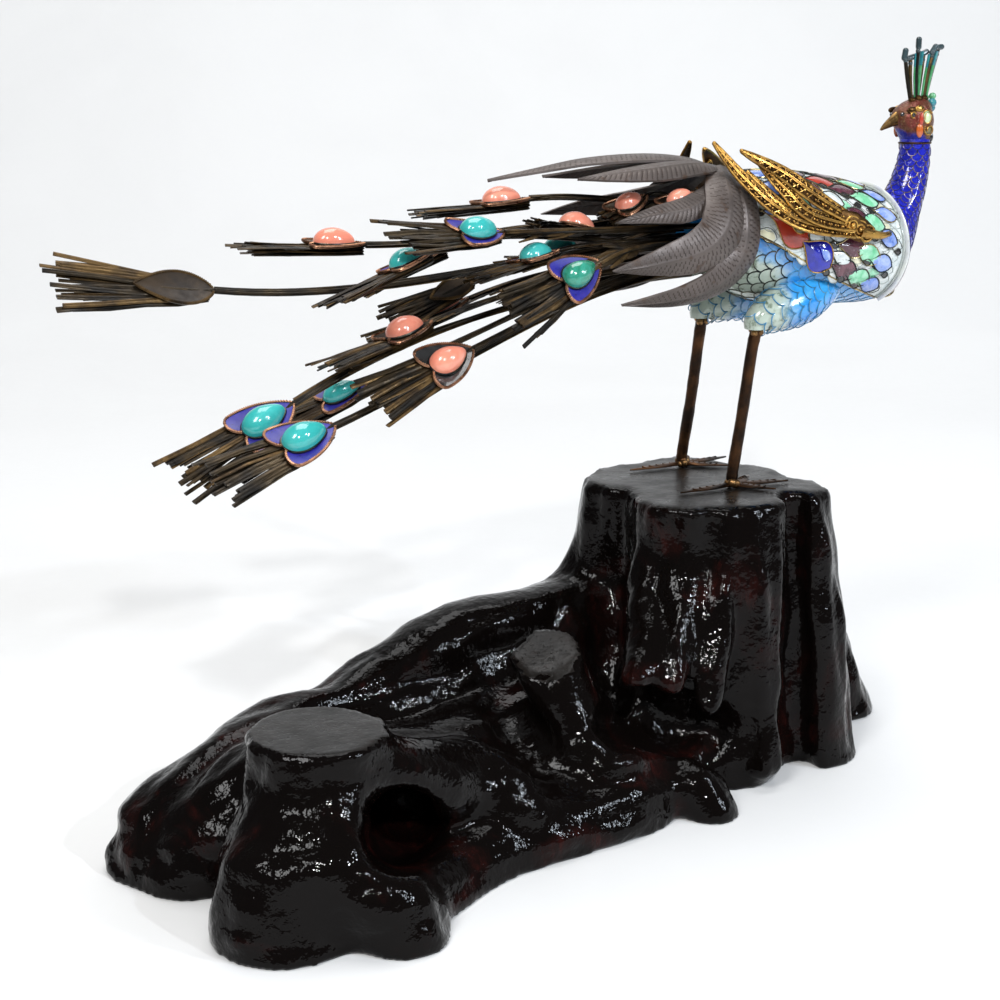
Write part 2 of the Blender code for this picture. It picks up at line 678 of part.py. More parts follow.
STONE_POINTS = 8
STONE_RINGS = [(1.0, 0.0), (0.86, 0.55), (0.5, 0.9)]
STONE_START = 0.17  # share of the plate's length ahead of the stone's point


def make_stone(name, plume, finish):
    length, width, rise = plume.stone
    seat = PLUME_SHEET / 2 + FIT_GAP
    middle = plume.length * STONE_START + length / 2
    bm = bmesh.new()
    rings = []
    for share, height in STONE_RINGS:
        ring = []
        for k in range(STONE_POINTS):
            angle = 2 * pi * (k + 0.5) / STONE_POINTS
            u = middle - cos(angle) * length / 2 * share
            v = sin(angle) * width / 2 * share * (0.82 - 0.28 * cos(angle))
            ring.append(bm.verts.new(plume.at(u, v, seat + rise * height)))
        rings.append(ring)
    for lower, upper in zip(rings, rings[1:]):
        for i in range(STONE_POINTS):
            j = (i + 1) % STONE_POINTS
            bm.faces.new((lower[i], lower[j], upper[j], upper[i]))
    bm.faces.new(rings[0])
    top = bm.verts.new(plume.at(middle, 0, seat + rise))
    for i in range(STONE_POINTS):
        bm.faces.new((rings[-1][i], rings[-1][(i + 1) % STONE_POINTS], top))
    return add_object(name, bm, finish, 60)


def main():
    for existing in list(bpy.data.objects):
        bpy.data.objects.remove(existing)

    wood = material("lacquered root wood", (0.02, 0.007, 0.006), 0.12, 0)
    sky = material("pale blue enamel", (0.16, 0.42, 0.55), 0.2, 0.1)
    cobalt = material("cobalt enamel", (0.01, 0.05, 0.5), 0.2, 0.1)
    cape_enamel = material("many-coloured enamel", (0.25, 0.4, 0.3), 0.2, 0.1)
    copper = material("copper head", (0.45, 0.2, 0.1), 0.4, 0.7)
    bronze = material("dark bronze wire", (0.07, 0.05, 0.035), 0.45, 0.9)
    gilt = material("gilt filigree", (0.62, 0.42, 0.12), 0.3, 1)
    silver = material("oxidised silver", (0.16, 0.15, 0.14), 0.4, 0.9)
    stones = {
        "coral": material("coral", (0.85, 0.3, 0.2), 0.2, 0),
        "turquoise": material("turquoise", (0.08, 0.55, 0.5), 0.2, 0),
        "green": material("green stone", (0.03, 0.3, 0.2), 0.2, 0),
    }

    make_stand(wood)
    make_body(sky)
    make_cape(cape_enamel)
    make_neck(cobalt)
    make_head(copper)
    make_crest(bronze)
    for label, side in (("right", -1), ("left", 1)):
        make_leg(label, side, bronze)
        make_wing(label, side, gilt)
    for name, rows in COVERTS.items():
        if name == "covert_top":
            make_covert(name, rows, -1, silver)
            continue
        for label, side in (("right", -1), ("left", 1)):
            make_covert(f"{name}_{label}", rows, side, silver)
    for number, rows in enumerate(PLUMES, 1):
        plume = Plume(*rows)
        make_plume(f"plume_{number:02d}", plume, bronze)
        if plume.kind in stones:
            make_stone(f"stone_{number:02d}_{plume.kind}", plume, stones[plume.kind])


main()
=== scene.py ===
# An enamelled peacock with a tail of wire plumes, on a lacquered root-wood stand.
# Drawn in millimetres; the bird's heights are counted from the stump's sawn top.

import random
from math import cos, pi, radians, sin, sqrt

import bmesh
import bpy
import numpy as np
from mathutils import Matrix, Vector, noise


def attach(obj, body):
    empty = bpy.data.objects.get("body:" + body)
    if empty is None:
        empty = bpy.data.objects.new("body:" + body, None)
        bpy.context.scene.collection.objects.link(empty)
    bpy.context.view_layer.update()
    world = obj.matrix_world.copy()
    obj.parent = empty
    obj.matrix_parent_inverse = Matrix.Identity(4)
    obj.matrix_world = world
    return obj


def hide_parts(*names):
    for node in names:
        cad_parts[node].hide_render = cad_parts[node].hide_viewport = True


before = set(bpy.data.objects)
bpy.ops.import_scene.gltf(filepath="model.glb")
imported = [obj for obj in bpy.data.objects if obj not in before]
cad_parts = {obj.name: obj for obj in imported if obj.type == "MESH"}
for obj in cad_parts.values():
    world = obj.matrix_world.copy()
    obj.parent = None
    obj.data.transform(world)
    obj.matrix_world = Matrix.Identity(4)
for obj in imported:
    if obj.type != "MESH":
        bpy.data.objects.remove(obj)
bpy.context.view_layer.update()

mm = 0.001
stumpTop = 54.5
up = Vector((0, 0, 1))
sideways = Vector((0, 1, 0))


def bird(x, y, z):
    return Vector((x, y, z + stumpTop)) * mm


# Curves and shapes


def smoothRow(points, steps):
    # a smooth curve through rows of numbers
    rows = []
    last = len(points) - 1
    for i in range(last):
        before, start = points[max(i - 1, 0)], points[i]
        end, after = points[i + 1], points[min(i + 2, last)]
        for step in range(steps):
            t = step / steps
            row = []
            for a, b, c, d in zip(before, start, end, after):
                square = 2 * a - 5 * b + 4 * c - d
                cube = 3 * b - a - 3 * c + d
                row.append(0.5 * (2 * b + (c - a) * t + square * t**2 + cube * t**3))
            rows.append(row)
    rows.append(list(points[last]))
    return rows


def smoothVectors(points, steps):
    return [Vector(row) for row in smoothRow([tuple(p) for p in points], steps)]


def evenRow(points, count):
    # a smooth curve with its points spread evenly along it
    fine = [Vector(row) for row in smoothRow(points, 20)]
    gone = [0.0]
    for a, b in zip(fine, fine[1:]):
        gone.append(gone[-1] + (b - a).length)
    table = [(g, *p) for g, p in zip(gone, fine)]
    return [lookUp(table, gone[-1] * k / count)[1:] for k in range(count + 1)]


def lookUp(table, x):
    # a row of the table at any x, where x is its first column
    if x <= table[0][0]:
        return table[0]
    for a, b in zip(table, table[1:]):
        if x <= b[0]:
            t = (x - a[0]) / max(b[0] - a[0], 1e-9)
            return [p + (q - p) * t for p, q in zip(a, b)]
    return table[-1]


def fullTurn(count):
    # the angles of so many even steps round a circle
    return [2 * pi * k / count for k in range(count)]


def ballPoints(level):
    bm = bmesh.new()
    bmesh.ops.create_icosphere(bm, subdivisions=level, radius=1)
    points = [v.co.copy() for v in bm.verts]
    faces = [tuple(v.index for v in f.verts) for f in bm.faces]
    bm.free()
    return points, faces


balls = {level: ballPoints(level) for level in (1, 2, 3)}


def turnOutward(mesh):
    bm = bmesh.new()
    bm.from_mesh(mesh)
    bmesh.ops.recalc_face_normals(bm, faces=bm.faces)
    bm.to_mesh(mesh)
    bm.free()


class Shape:
    # collects points and faces in metres, then becomes one piece
    def __init__(self):
        self.points = []
        self.faces = []
        self.slots = []

    def add(self, points, faces, slot=0):
        first = len(self.points)
        self.points.extend(points)
        self.faces.extend(tuple(first + i for i in face) for face in faces)
        self.slots.extend([slot] * len(faces))

    def skin(self, rows, slot=0, ends=True):
        # a skin over a row of closed rings
        count = len(rows[0])
        faces = []
        for r in range(len(rows) - 1):
            for i in range(count):
                j = (i + 1) % count
                a = r * count
                faces.append((a + i, a + j, a + count + j, a + count + i))
        if ends:
            faces.append(tuple(reversed(range(count))))
            faces.append(tuple((len(rows) - 1) * count + i for i in range(count)))
        self.add([p for row in rows for p in row], faces, slot)

    def dome(self, rings, middle, slot=0, floor=False):
        # rings that shrink towards a middle point, with a floor under the first one if it is asked for
        count = len(rings[0])
        faces = []
        for r in range(len(rings) - 1):
            for i in range(count):
                j = (i + 1) % count
                faces.append((r * count + i, r * count + j, (r + 1) * count + j, (r + 1) * count + i))
        last = (len(rings) - 1) * count
        for i in range(count):
            faces.append((last + i, last + (i + 1) % count, last + count))
        if floor:
            faces.append(tuple(reversed(range(count))))
        self.add([p for ring in rings for p in ring] + [middle], faces, slot)

    def tube(self, path, radius, sides=6, slot=0, flat=1.0, guide=None):
        # radius is in millimetres, one number or one for each point
        last = len(path) - 1
        radii = radius if isinstance(radius, (list, tuple)) else [radius] * (last + 1)
        rows = []
        side = None
        for i, point in enumerate(path):
            ahead = (path[min(i + 1, last)] - path[max(i - 1, 0)]).normalized()
            if side is None:
                start = guide or (sideways if abs(ahead.dot(sideways)) < 0.9 else up)
                side = ahead.cross(start)
            side = (side - ahead * side.dot(ahead)).normalized()
            across = ahead.cross(side)
            r = radii[i] * mm
            rows.append([point + side * (r * flat * cos(a)) + across * (r * sin(a)) for a in fullTurn(sides)])
        self.skin(rows, slot)

    def loop(self, path, radius, sides=5, slot=0):
        # a closed ring of wire
        count = len(path)
        r = radius * mm
        rows = []
        centre = sum(path, Vector()) / count
        for i, point in enumerate(path):
            ahead = (path[(i + 1) % count] - path[i - 1]).normalized()
            out = point - centre
            out = (out - ahead * out.dot(ahead)).normalized()
            across = ahead.cross(out)
            rows.append([point + out * (r * cos(a)) + across * (r * sin(a)) for a in fullTurn(sides)])
        rows.append(rows[0])
        self.skin(rows, slot, False)

    def ball(self, centre, radius, slot=0, level=1, stretch=None):
        points, faces = balls[level]
        if stretch is None:
            self.add([centre + p * (radius * mm) for p in points], faces, slot)
        else:
            a, b, c = stretch
            self.add([centre + (a * p.x + b * p.y + c * p.z) * mm for p in points], faces, slot)

    def sheet(self, rows, normals, thickness, slot=0, front=None):
        # a grid of points with a thickness in millimetres, half to each side;
        # front gives the slot of each face of the outer side
        first = len(self.slots)
        rings = []
        for row, outs in zip(rows, normals):
            upper = [p + n * (thickness / 2 * mm) for p, n in zip(row, outs)]
            lower = [p - n * (thickness / 2 * mm) for p, n in zip(row, outs)]
            rings.append(upper + lower[::-1])
        self.skin(rings, slot)
        if front:
            around = len(rings[0])
            for r in range(len(rows) - 1):
                for c in range(len(rows[0]) - 1):
                    self.slots[first + r * around + c] = front[r][c]

    def make(self, name, materials, slotName, replaced, sharp):
        # sharp is the angle, in degrees, from which an edge stays crisp
        mesh = bpy.data.meshes.new(name)
        mesh.from_pydata([tuple(p) for p in self.points], [], self.faces)
        mesh.polygons.foreach_set("material_index", self.slots)
        for finish in materials:
            mesh.materials.append(finish)
        turnOutward(mesh)
        mesh.shade_smooth()
        mesh.set_sharp_from_angle(angle=radians(sharp))
        piece = bpy.data.objects.new(name, mesh)
        bpy.context.scene.collection.objects.link(piece)
        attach(piece, "root")
        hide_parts(*replaced)


# Materials


def newGroup(name, inputs, outputs):
    group = bpy.data.node_groups.new(name, "ShaderNodeTree")
    for label, kind, value in inputs:
        made = group.interface.new_socket(label, in_out="INPUT", socket_type=kind)
        made.default_value = value
    for label, kind in outputs:
        group.interface.new_socket(label, in_out="OUTPUT", socket_type=kind)
    return group, group.nodes.new("NodeGroupInput"), group.nodes.new("NodeGroupOutput")


def noiseNode(tree, vector, scale, detail=3.0, rough=0.5, distort=0.0):
    node = tree.nodes.new("ShaderNodeTexNoise")
    node.inputs["Detail"].default_value = detail
    node.inputs["Roughness"].default_value = rough
    node.inputs["Distortion"].default_value = distort
    if isinstance(scale, (int, float)):
        node.inputs["Scale"].default_value = scale
    else:
        tree.links.new(scale, node.inputs["Scale"])
    tree.links.new(vector, node.inputs["Vector"])
    return node.outputs["Fac"]


def rampNode(tree, value, low, high):
    # turns a value between low and high softly into 0 to 1
    node = tree.nodes.new("ShaderNodeMapRange")
    node.interpolation_type = "SMOOTHSTEP"
    node.inputs["From Min"].default_value = low
    node.inputs["From Max"].default_value = high
    tree.links.new(value, node.inputs["Value"])
    return node.outputs["Result"]


def mathNode(tree, operation, a, b, clamp=False):
    node = tree.nodes.new("ShaderNodeMath")
    node.operation = operation
    node.use_clamp = clamp
    for socket, value in ((0, a), (1, b)):
        if isinstance(value, (int, float)):
            node.inputs[socket].default_value = value
        else:
            tree.links.new(value, node.inputs[socket])
    return node.outputs[0]


def mixNode(tree, share, a, b):
    node = tree.nodes.new("ShaderNodeMix")
    node.data_type = "RGBA"
    for key, value in (("Factor", share), ("A", a), ("B", b)):
        socket = next(s for s in node.inputs if s.name == key and s.enabled)
        if isinstance(value, (int, float)):
            socket.default_value = value
        elif isinstance(value, tuple):
            socket.default_value = (*value, 1)
        else:
            tree.links.new(value, socket)
    return next(s for s in node.outputs if s.enabled)


def placeVector(tree, scale=(1, 1, 1)):
    place = tree.nodes.new("ShaderNodeTexCoord").outputs["Object"]
    if scale == (1, 1, 1):
        return place
    node = tree.nodes.new("ShaderNodeMapping")
    node.inputs["Scale"].default_value = scale
    tree.links.new(place, node.inputs["Vector"])
    return node.outputs["Vector"]


def placeAxes(tree, place):
    split = tree.nodes.new("ShaderNodeSeparateXYZ")
    tree.links.new(place, split.inputs[0])
    return split.outputs


def timesNode(tree, a, b, clamp=False):
    return mathNode(tree, "MULTIPLY", a, b, clamp)


def plusNode(tree, a, b):
    return mathNode(tree, "ADD", a, b)


def layTone(tree, share, tone):
    # lays a second tone over the material's colour where the share is high
    socket = tree.nodes["Principled BSDF"].inputs["Base Color"]
    tree.links.new(mixNode(tree, share, socket.links[0].from_socket, tone), socket)


def buildCloudGroup():
    # two tones in soft clouds, with a third in small spots
    inputs = [
        ("Main", "NodeSocketColor", (0.5, 0.5, 0.5, 1)),
        ("Cloud", "NodeSocketColor", (0.3, 0.3, 0.3, 1)),
        ("Spot", "NodeSocketColor", (0.05, 0.05, 0.05, 1)),
        ("Scale", "NodeSocketFloat", 300.0),
        ("Cloud Share", "NodeSocketFloat", 0.5),
        ("Spot Share", "NodeSocketFloat", 0.2),
    ]
    group, into, out = newGroup("clouded tone", inputs, [("Color", "NodeSocketColor")])
    place = placeVector(group)
    clouds = noiseNode(group, place, into.outputs["Scale"], 4, 0.6, 0.6)
    share = timesNode(group, rampNode(group, clouds, 0.38, 0.66), into.outputs["Cloud Share"], True)
    fine = timesNode(group, into.outputs["Scale"], 4.3)
    spots = noiseNode(group, place, fine, 2, 0.5)
    spotShare = timesNode(group, rampNode(group, spots, 0.60, 0.74), into.outputs["Spot Share"], True)
    tone = mixNode(group, share, into.outputs["Main"], into.outputs["Cloud"])
    tone = mixNode(group, spotShare, tone, into.outputs["Spot"])
    group.links.new(tone, out.inputs["Color"])
    return group


def buildSurfaceGroup():
    # fine unevenness for a bump, and a roughness that wanders
    inputs = [
        ("Scale", "NodeSocketFloat", 600.0),
        ("Roughness Low", "NodeSocketFloat", 0.1),
        ("Roughness High", "NodeSocketFloat", 0.3),
        ("Pits", "NodeSocketFloat", 0.3),
    ]
    outputs = [("Height", "NodeSocketFloat"), ("Roughness", "NodeSocketFloat")]
    group, into, out = newGroup("uneven surface", inputs, outputs)
    place = placeVector(group)
    swell = noiseNode(group, place, into.outputs["Scale"], 3, 0.55)
    grain = noiseNode(group, place, timesNode(group, into.outputs["Scale"], 6.0), 2, 0.5)
    pits = timesNode(group, rampNode(group, grain, 0.60, 0.72), into.outputs["Pits"])
    height = mathNode(group, "SUBTRACT", swell, pits)
    wander = noiseNode(group, place, timesNode(group, into.outputs["Scale"], 0.5), 4, 0.6)
    low, high = into.outputs["Roughness Low"], into.outputs["Roughness High"]
    spread = timesNode(group, rampNode(group, wander, 0.35, 0.68), mathNode(group, "SUBTRACT", high, low))
    group.links.new(height, out.inputs["Height"])
    group.links.new(plusNode(group, low, spread), out.inputs["Roughness"])
    return group


cloudGroup = buildCloudGroup()
surfaceGroup = buildSurfaceGroup()


def addGroup(tree, group, **values):
    node = tree.nodes.new("ShaderNodeGroup")
    node.node_tree = group
    for label, value in values.items():
        socket = node.inputs[label.replace("_", " ")]
        socket.default_value = (*value, 1) if isinstance(value, tuple) else value
    return node


def baseMaterial(name, look):
    # a clouded, slightly uneven finish; the look is a dictionary of its values
    made = bpy.data.materials.new(name)
    made.use_nodes = True
    tree = made.node_tree
    shader = tree.nodes["Principled BSDF"]
    tone = addGroup(
        tree, cloudGroup, Main=look["main"], Cloud=look["cloud"], Spot=look.get("spot", look["cloud"]),
        Scale=look.get("cloudScale", 300.0), Cloud_Share=look.get("cloudShare", 0.8),
        Spot_Share=look.get("spotShare", 0.3),
    )
    low, high = look["rough"]
    skin = addGroup(
        tree, surfaceGroup, Scale=look.get("bumpScale", 600.0), Roughness_Low=low, Roughness_High=high,
        Pits=look.get("pits", 0.3),
    )
    tree.links.new(tone.outputs["Color"], shader.inputs["Base Color"])
    tree.links.new(skin.outputs["Roughness"], shader.inputs["Roughness"])
    bump = tree.nodes.new("ShaderNodeBump")
    bump.inputs["Strength"].default_value = look.get("bump", 0.3)
    bump.inputs["Distance"].default_value = look.get("bumpDepth", 0.0002)
    tree.links.new(skin.outputs["Height"], bump.inputs["Height"])
    tree.links.new(bump.outputs["Normal"], shader.inputs["Normal"])
    shader.inputs["Metallic"].default_value = look.get("metal", 0.0)
    shader.inputs["Coat Weight"].default_value = look.get("coat", 0.0)
    shader.inputs["Coat Roughness"].default_value = look.get("coatRough", 0.05)
    shader.inputs["IOR"].default_value = look.get("ior", 1.5)
    return made


def enamel(name, main, cloud, **more):
    look = dict(
        main=main, cloud=cloud, rough=(0.08, 0.22), coat=0.5, cloudScale=420.0, cloudShare=0.7,
        spot=(0.02, 0.02, 0.025), spotShare=0.25, bumpScale=500.0, bump=0.35, bumpDepth=0.00012,
        pits=0.4, ior=1.55,
    )
    look.update(more)
    return baseMaterial(name, look)


def metal(name, main, cloud, **more):
    look = dict(
        main=main, cloud=cloud, rough=(0.25, 0.5), metal=1.0, cloudScale=260.0, cloudShare=0.9,
        spot=(0.01, 0.008, 0.006), spotShare=0.5, bumpScale=900.0, bump=0.4, bumpDepth=0.0001, pits=0.5,
    )
    look.update(more)
    return baseMaterial(name, look)


def stone(name, main, cloud, **more):
    look = dict(
        main=main, cloud=cloud, rough=(0.12, 0.26), coat=0.35, cloudScale=240.0, cloudShare=0.6,
        spot=main, spotShare=0.3, bumpScale=300.0, bump=0.15, bumpDepth=0.0001, pits=0.1, ior=1.55,
    )
    look.update(more)
    return baseMaterial(name, look)


mats = {
    "white": enamel(
        "white enamel", (0.66, 0.69, 0.67), (0.42, 0.49, 0.50),
        spot=(0.10, 0.10, 0.08), spotShare=0.5,
    ),
    "cream": enamel("cream enamel", (0.66, 0.66, 0.48), (0.52, 0.50, 0.36), spotShare=0.15),
    "mint": enamel(
        "mint enamel", (0.15, 0.50, 0.27), (0.42, 0.72, 0.54),
        spot=(0.02, 0.10, 0.05), cloudScale=380.0,
    ),
    "paleBlue": enamel("light blue enamel", (0.12, 0.22, 0.60), (0.42, 0.50, 0.72), cloudScale=380.0),
    "purple": enamel(
        "purple brown enamel", (0.055, 0.012, 0.022), (0.15, 0.05, 0.07),
        spot=(0.5, 0.42, 0.45), spotShare=0.25,
    ),
    "red": enamel("orange red enamel", (0.42, 0.035, 0.012), (0.30, 0.02, 0.01)),
    "olive": enamel("olive enamel", (0.14, 0.12, 0.05), (0.22, 0.18, 0.08)),
    "cobalt": enamel("cobalt enamel", (0.006, 0.012, 0.36), (0.004, 0.006, 0.18), spotShare=0.1),
    "sky": enamel(
        "sky enamel", (0.010, 0.20, 0.58), (0.05, 0.38, 0.74),
        spot=(0.02, 0.05, 0.06), cloudScale=130.0,
    ),
    "dark": enamel("dark enamel", (0.012, 0.012, 0.012), (0.03, 0.03, 0.03)),
    "lilac": enamel(
        "lilac brown enamel", (0.22, 0.16, 0.18), (0.34, 0.26, 0.26),
        spotShare=0.1, cloudScale=120.0,
    ),
    "gilt": metal(
        "worn gilt", (0.52, 0.30, 0.075), (0.24, 0.125, 0.036),
        spot=(0.05, 0.025, 0.01), rough=(0.24, 0.45),
    ),
    "giltDark": metal("shaded gilt", (0.085, 0.042, 0.014), (0.03, 0.016, 0.007)),
    "copperRim": metal("copper rim", (0.42, 0.22, 0.13), (0.20, 0.10, 0.06)),
    "wire": metal(
        "dark wire", (0.011, 0.009, 0.007), (0.055, 0.036, 0.016),
        metal=0.8, rough=(0.3, 0.55), cloudScale=120.0, cloudShare=0.75,
    ),
    "wireBrown": metal(
        "brown wire", (0.110, 0.066, 0.025), (0.018, 0.012, 0.008),
        metal=0.85, rough=(0.32, 0.55), cloudScale=170.0,
    ),
    "leafBrown": metal(
        "brown leaf", (0.030, 0.021, 0.014), (0.11, 0.068, 0.028),
        metal=0.75, rough=(0.36, 0.58), cloudScale=130.0, cloudShare=0.6,
    ),
    "blueWire": metal(
        "wire in blue", (0.05, 0.05, 0.16), (0.22, 0.17, 0.10),
        rough=(0.25, 0.4), cloudScale=200.0,
    ),
    "skyWire": enamel(
        "line in sky blue", (0.030, 0.16, 0.30), (0.06, 0.26, 0.44),
        rough=(0.3, 0.45), cloudScale=200.0,
    ),
    "cloison": metal("thin gilt wire", (0.42, 0.33, 0.16), (0.10, 0.07, 0.04), rough=(0.2, 0.4)),
    "sawn": baseMaterial("sawn wood", dict(
        main=(0.0036, 0.0028, 0.0022), cloud=(0.0085, 0.0062, 0.0048), spot=(0.014, 0.004, 0.003),
        rough=(0.26, 0.40), cloudScale=140.0, bumpScale=260.0, bump=0.35, bumpDepth=0.0006, ior=1.3,
    )),
    "beak": metal(
        "beak", (0.17, 0.10, 0.035), (0.05, 0.028, 0.012),
        rough=(0.28, 0.45), cloudScale=420.0,
    ),
    "leafDark": metal(
        "dark leaf", (0.016, 0.011, 0.008), (0.055, 0.034, 0.016),
        metal=0.5, rough=(0.42, 0.62), cloudScale=140.0, cloudShare=0.6,
    ),
    "rim": enamel("rim enamel", (0.66, 0.69, 0.66), (0.48, 0.50, 0.60), cloudScale=150.0),
    "greyLine": enamel("grey line", (0.26, 0.30, 0.28), (0.44, 0.47, 0.45)),
    "darkCloison": metal("thin dark wire", (0.035, 0.045, 0.05), (0.10, 0.09, 0.06), rough=(0.3, 0.5)),
    "leg": metal(
        "leg bronze", (0.020, 0.014, 0.011), (0.12, 0.052, 0.020),
        rough=(0.30, 0.55), cloudScale=95.0, cloudShare=0.7,
    ),
    "engraved": metal(
        "engraved line", (0.036, 0.026, 0.021), (0.060, 0.042, 0.034),
        metal=0.5, rough=(0.45, 0.6),
    ),
    "solder": metal("solder", (0.30, 0.17, 0.07), (0.10, 0.05, 0.02), rough=(0.3, 0.55)),
    "paleGreen": enamel("pale green enamel", (0.42, 0.56, 0.30), (0.60, 0.66, 0.42)),
    "orange": enamel("orange enamel", (0.48, 0.10, 0.012), (0.30, 0.05, 0.012)),
    "slate": enamel("slate enamel", (0.016, 0.030, 0.034), (0.03, 0.06, 0.07), rough=(0.15, 0.3)),
    "bladeGreen": enamel("blade green", (0.05, 0.26, 0.10), (0.12, 0.38, 0.18), cloudScale=500.0),
    "bladeBlue": enamel("blade turquoise", (0.02, 0.16, 0.21), (0.04, 0.28, 0.27), cloudScale=500.0),
    "silver": metal(
        "oxidised silver", (0.078, 0.063, 0.056), (0.118, 0.095, 0.085),
        spot=(0.060, 0.032, 0.018), spotShare=0.8,
        metal=0.45, rough=(0.40, 0.56), cloudScale=90.0, bump=0.3, bumpScale=500.0,
    ),
    "plateCobalt": enamel(
        "plate enamel", (0.012, 0.012, 0.22), (0.038, 0.026, 0.26),
        spot=(0.006, 0.005, 0.03), spotShare=0.8, cloudScale=500.0, rough=(0.34, 0.5), coat=0.0,
    ),
    "coral": stone("coral", (0.74, 0.23, 0.15), (0.84, 0.36, 0.25)),
    "turquoise": stone("turquoise", (0.030, 0.36, 0.34), (0.07, 0.44, 0.41)),
    "green": stone(
        "green stone", (0.012, 0.16, 0.09), (0.04, 0.30, 0.22),
        cloudScale=330.0, cloudShare=0.9,
    ),
}


# The stand

standLook = dict(
    cell=0.85,  # fineness of the modelled surface
    melt=3.4,  # how softly one root runs into the next
    hollowMelt=2.2,
    rim=0.9,  # rounding of the sawn edges
    gouge=0.55,  # depth of the long tool marks
    lump=0.5,
)
limbs = [
    [(0, 0, -6, 22), (0, 0, 25, 18), (0, 0, 62, 16)],
    [(-12, -11, -6, 12), (-10.5, -9, 25, 10.5), (-9.0, -7.4, 62, 11)],
    [(-6, -15, -6, 12), (-3, -12.5, 25, 12), (-0.7, -9.4, 62, 12)],
    [(16, -16.4, -6, 11), (15.6, -15.6, 10, 9.5), (15, -14, 27, 9), (11.4, -8.3, 62, 9)],
    [(-24, 15, -6, 13), (-18.4, 14, 25, 9), (-14.4, 11, 42, 7.6), (-12, 9.6, 62, 8)],
    [(14, 17, -6, 14), (9, 15, 25, 11), (4.6, 13.6, 62, 10)],
    [(-12, 22, -6, 13), (-8, 17, 25, 10), (-5, 12.5, 62, 9)],
    [(22, 4, -6, 12), (15, 4, 25, 10), (11.2, 3.5, 62, 9)],
    [(18, 1, 38, 7), (26, 1.5, 28, 7.5), (31, 2, 13, 8.5), (36.5, 1, -6, 11)],
    [
        (-14, 12, 26, 10), (-34, 9, 25, 9.5), (-50, 9, 24.5, 9.5), (-64, 8, 19, 9.5), (-76, 5, 14.5, 9.5),
        (-88, 2, 13.5, 10), (-100, -1, 9, 10.5), (-112, -3, 4.5, 10), (-117, -5, -3, 7.5),
    ],
    [(-20, 16, 8, 14), (-50, 13, 7, 13), (-78, 7, 4, 12), (-100, 0, 0, 12)],
    [
        (-95, -29, 36, 11.5), (-95.5, -29.5, 25, 11.2), (-98, -32, 15, 11.5),
        (-103, -36, 6, 12), (-104, -37, -6, 12.5),
    ],
    [(-97, -38, 14, 9), (-92, -44, 7, 8.5), (-88.5, -47, 2, 7.5), (-88, -48, -5, 7)],
    [(-92, -20, 16, 10), (-99, -13, 12, 10), (-109, -12, 4, 9.5), (-113, -12, -4, 8)],
    [(-92, -31, 23, 8.5), (-82, -31, 19.5, 7), (-72, -27, 15, 7.5)],
    [(-88, -42, 1, 8), (-76, -35, 0, 8), (-64, -29, 1, 9), (-48, -28, 2, 8.5), (-32, -27, 2, 7)],
    [(-90, -20, 13, 9), (-76, -14, 13.5, 7.5), (-60, -13.5, 13, 7.2), (-48, -12, 12, 7)],
    [(-84, -24, 3, 9), (-68, -22, 4, 10), (-52, -20, 4, 10), (-36, -18, 4, 10), (-20, -17, 2, 9)],
    [(-72, -18, 13.5, 6.5), (-65, -25, 13.5, 6.8), (-58, -29, 9, 6.5)],
    [(-92, -12, 3, 12), (-60, -4, 4, 14), (-30, 0, 4, 18), (-8, 0, 4, 16)],
    [
        (-45, -15, 38, 6.9), (-43.4, -16, 25, 6.6), (-39.5, -20, 14, 8.2),
        (-36.5, -24, 5, 9.6), (-36, -25, -4, 9),
    ],
    [(-34, -20, 8, 7), (-26, -25, 6, 6), (-19.5, -31, 3, 5.4), (-18.5, -32.5, -4, 5.4)],
    [(-18, -9, 42, 3.2), (-24, -17, 30, 3.6), (-30, -23, 25, 3.0)],
    [(-13, -14, 44, 3.2), (-18.5, -20, 31, 3.6), (-23, -24.5, 24, 2.8)],
    [(-7, -18, 46, 3.2), (-12.5, -23, 30, 3.5), (-16, -26.5, 19, 2.8)],
    [(-3, -16, 58, 3.4), (-1.6, -21, 34, 3.8), (-1.8, -24.2, 18, 3.6), (-3, -26.5, 5, 3.6)],
]
hollows = [
    [(-88.5, -49, 19, 6.3), (-84.6, -40, 14.6, 6.4), (-80, -30, 10.5, 6.4), (-76, -22, 9.5, 5)],
    [(-22, 0, 66, 4.4), (-22, -1, 40, 4.8), (-24, -4, 22, 4.4), (-26, -10, 14, 3)],
    [(-36, -28, 20, 4.5), (-27, -21, 16.5, 6.6), (-17, -23, 13, 6.2), (-10, -29, 11.5, 4.4)],
    [(9.6, -16.6, 66, 2.4), (9.4, -19.6, 28, 2.6), (9.4, -24, -4, 3)],
    [(-12, -20.5, 52, 2.2), (-15.5, -25, 34, 2.2), (-18, -29, 24, 1.6)],
    [(22, -17, 60, 2.0), (23.5, -21, 30, 2.4), (24, -25, 6, 2.2)],
    [(-100, -9, 30, 4), (-82, -5, 24, 5), (-60, -4, 25, 5.5), (-40, -3, 28, 5.5), (-28, 0, 33, 4)],
    [(-53, -38, 17, 3.5), (-51, -27, 16, 4), (-52, -18, 19, 4), (-50, -8, 22, 4)],
]
knotCut = dict(centre=(-95, -29), reach=17.5, height=30.0)
smallKnotCut = dict(centre=(-44.5, -15, 30.5), tilt=(16, -20), reach=12.0)


def softMin(a, b, width):
    mix = np.clip(0.5 + 0.5 * (b - a) / width, 0, 1)
    return b + (a - b) * mix - width * mix * (1 - mix)


def softMax(a, b, width):
    return -softMin(-a, -b, width)


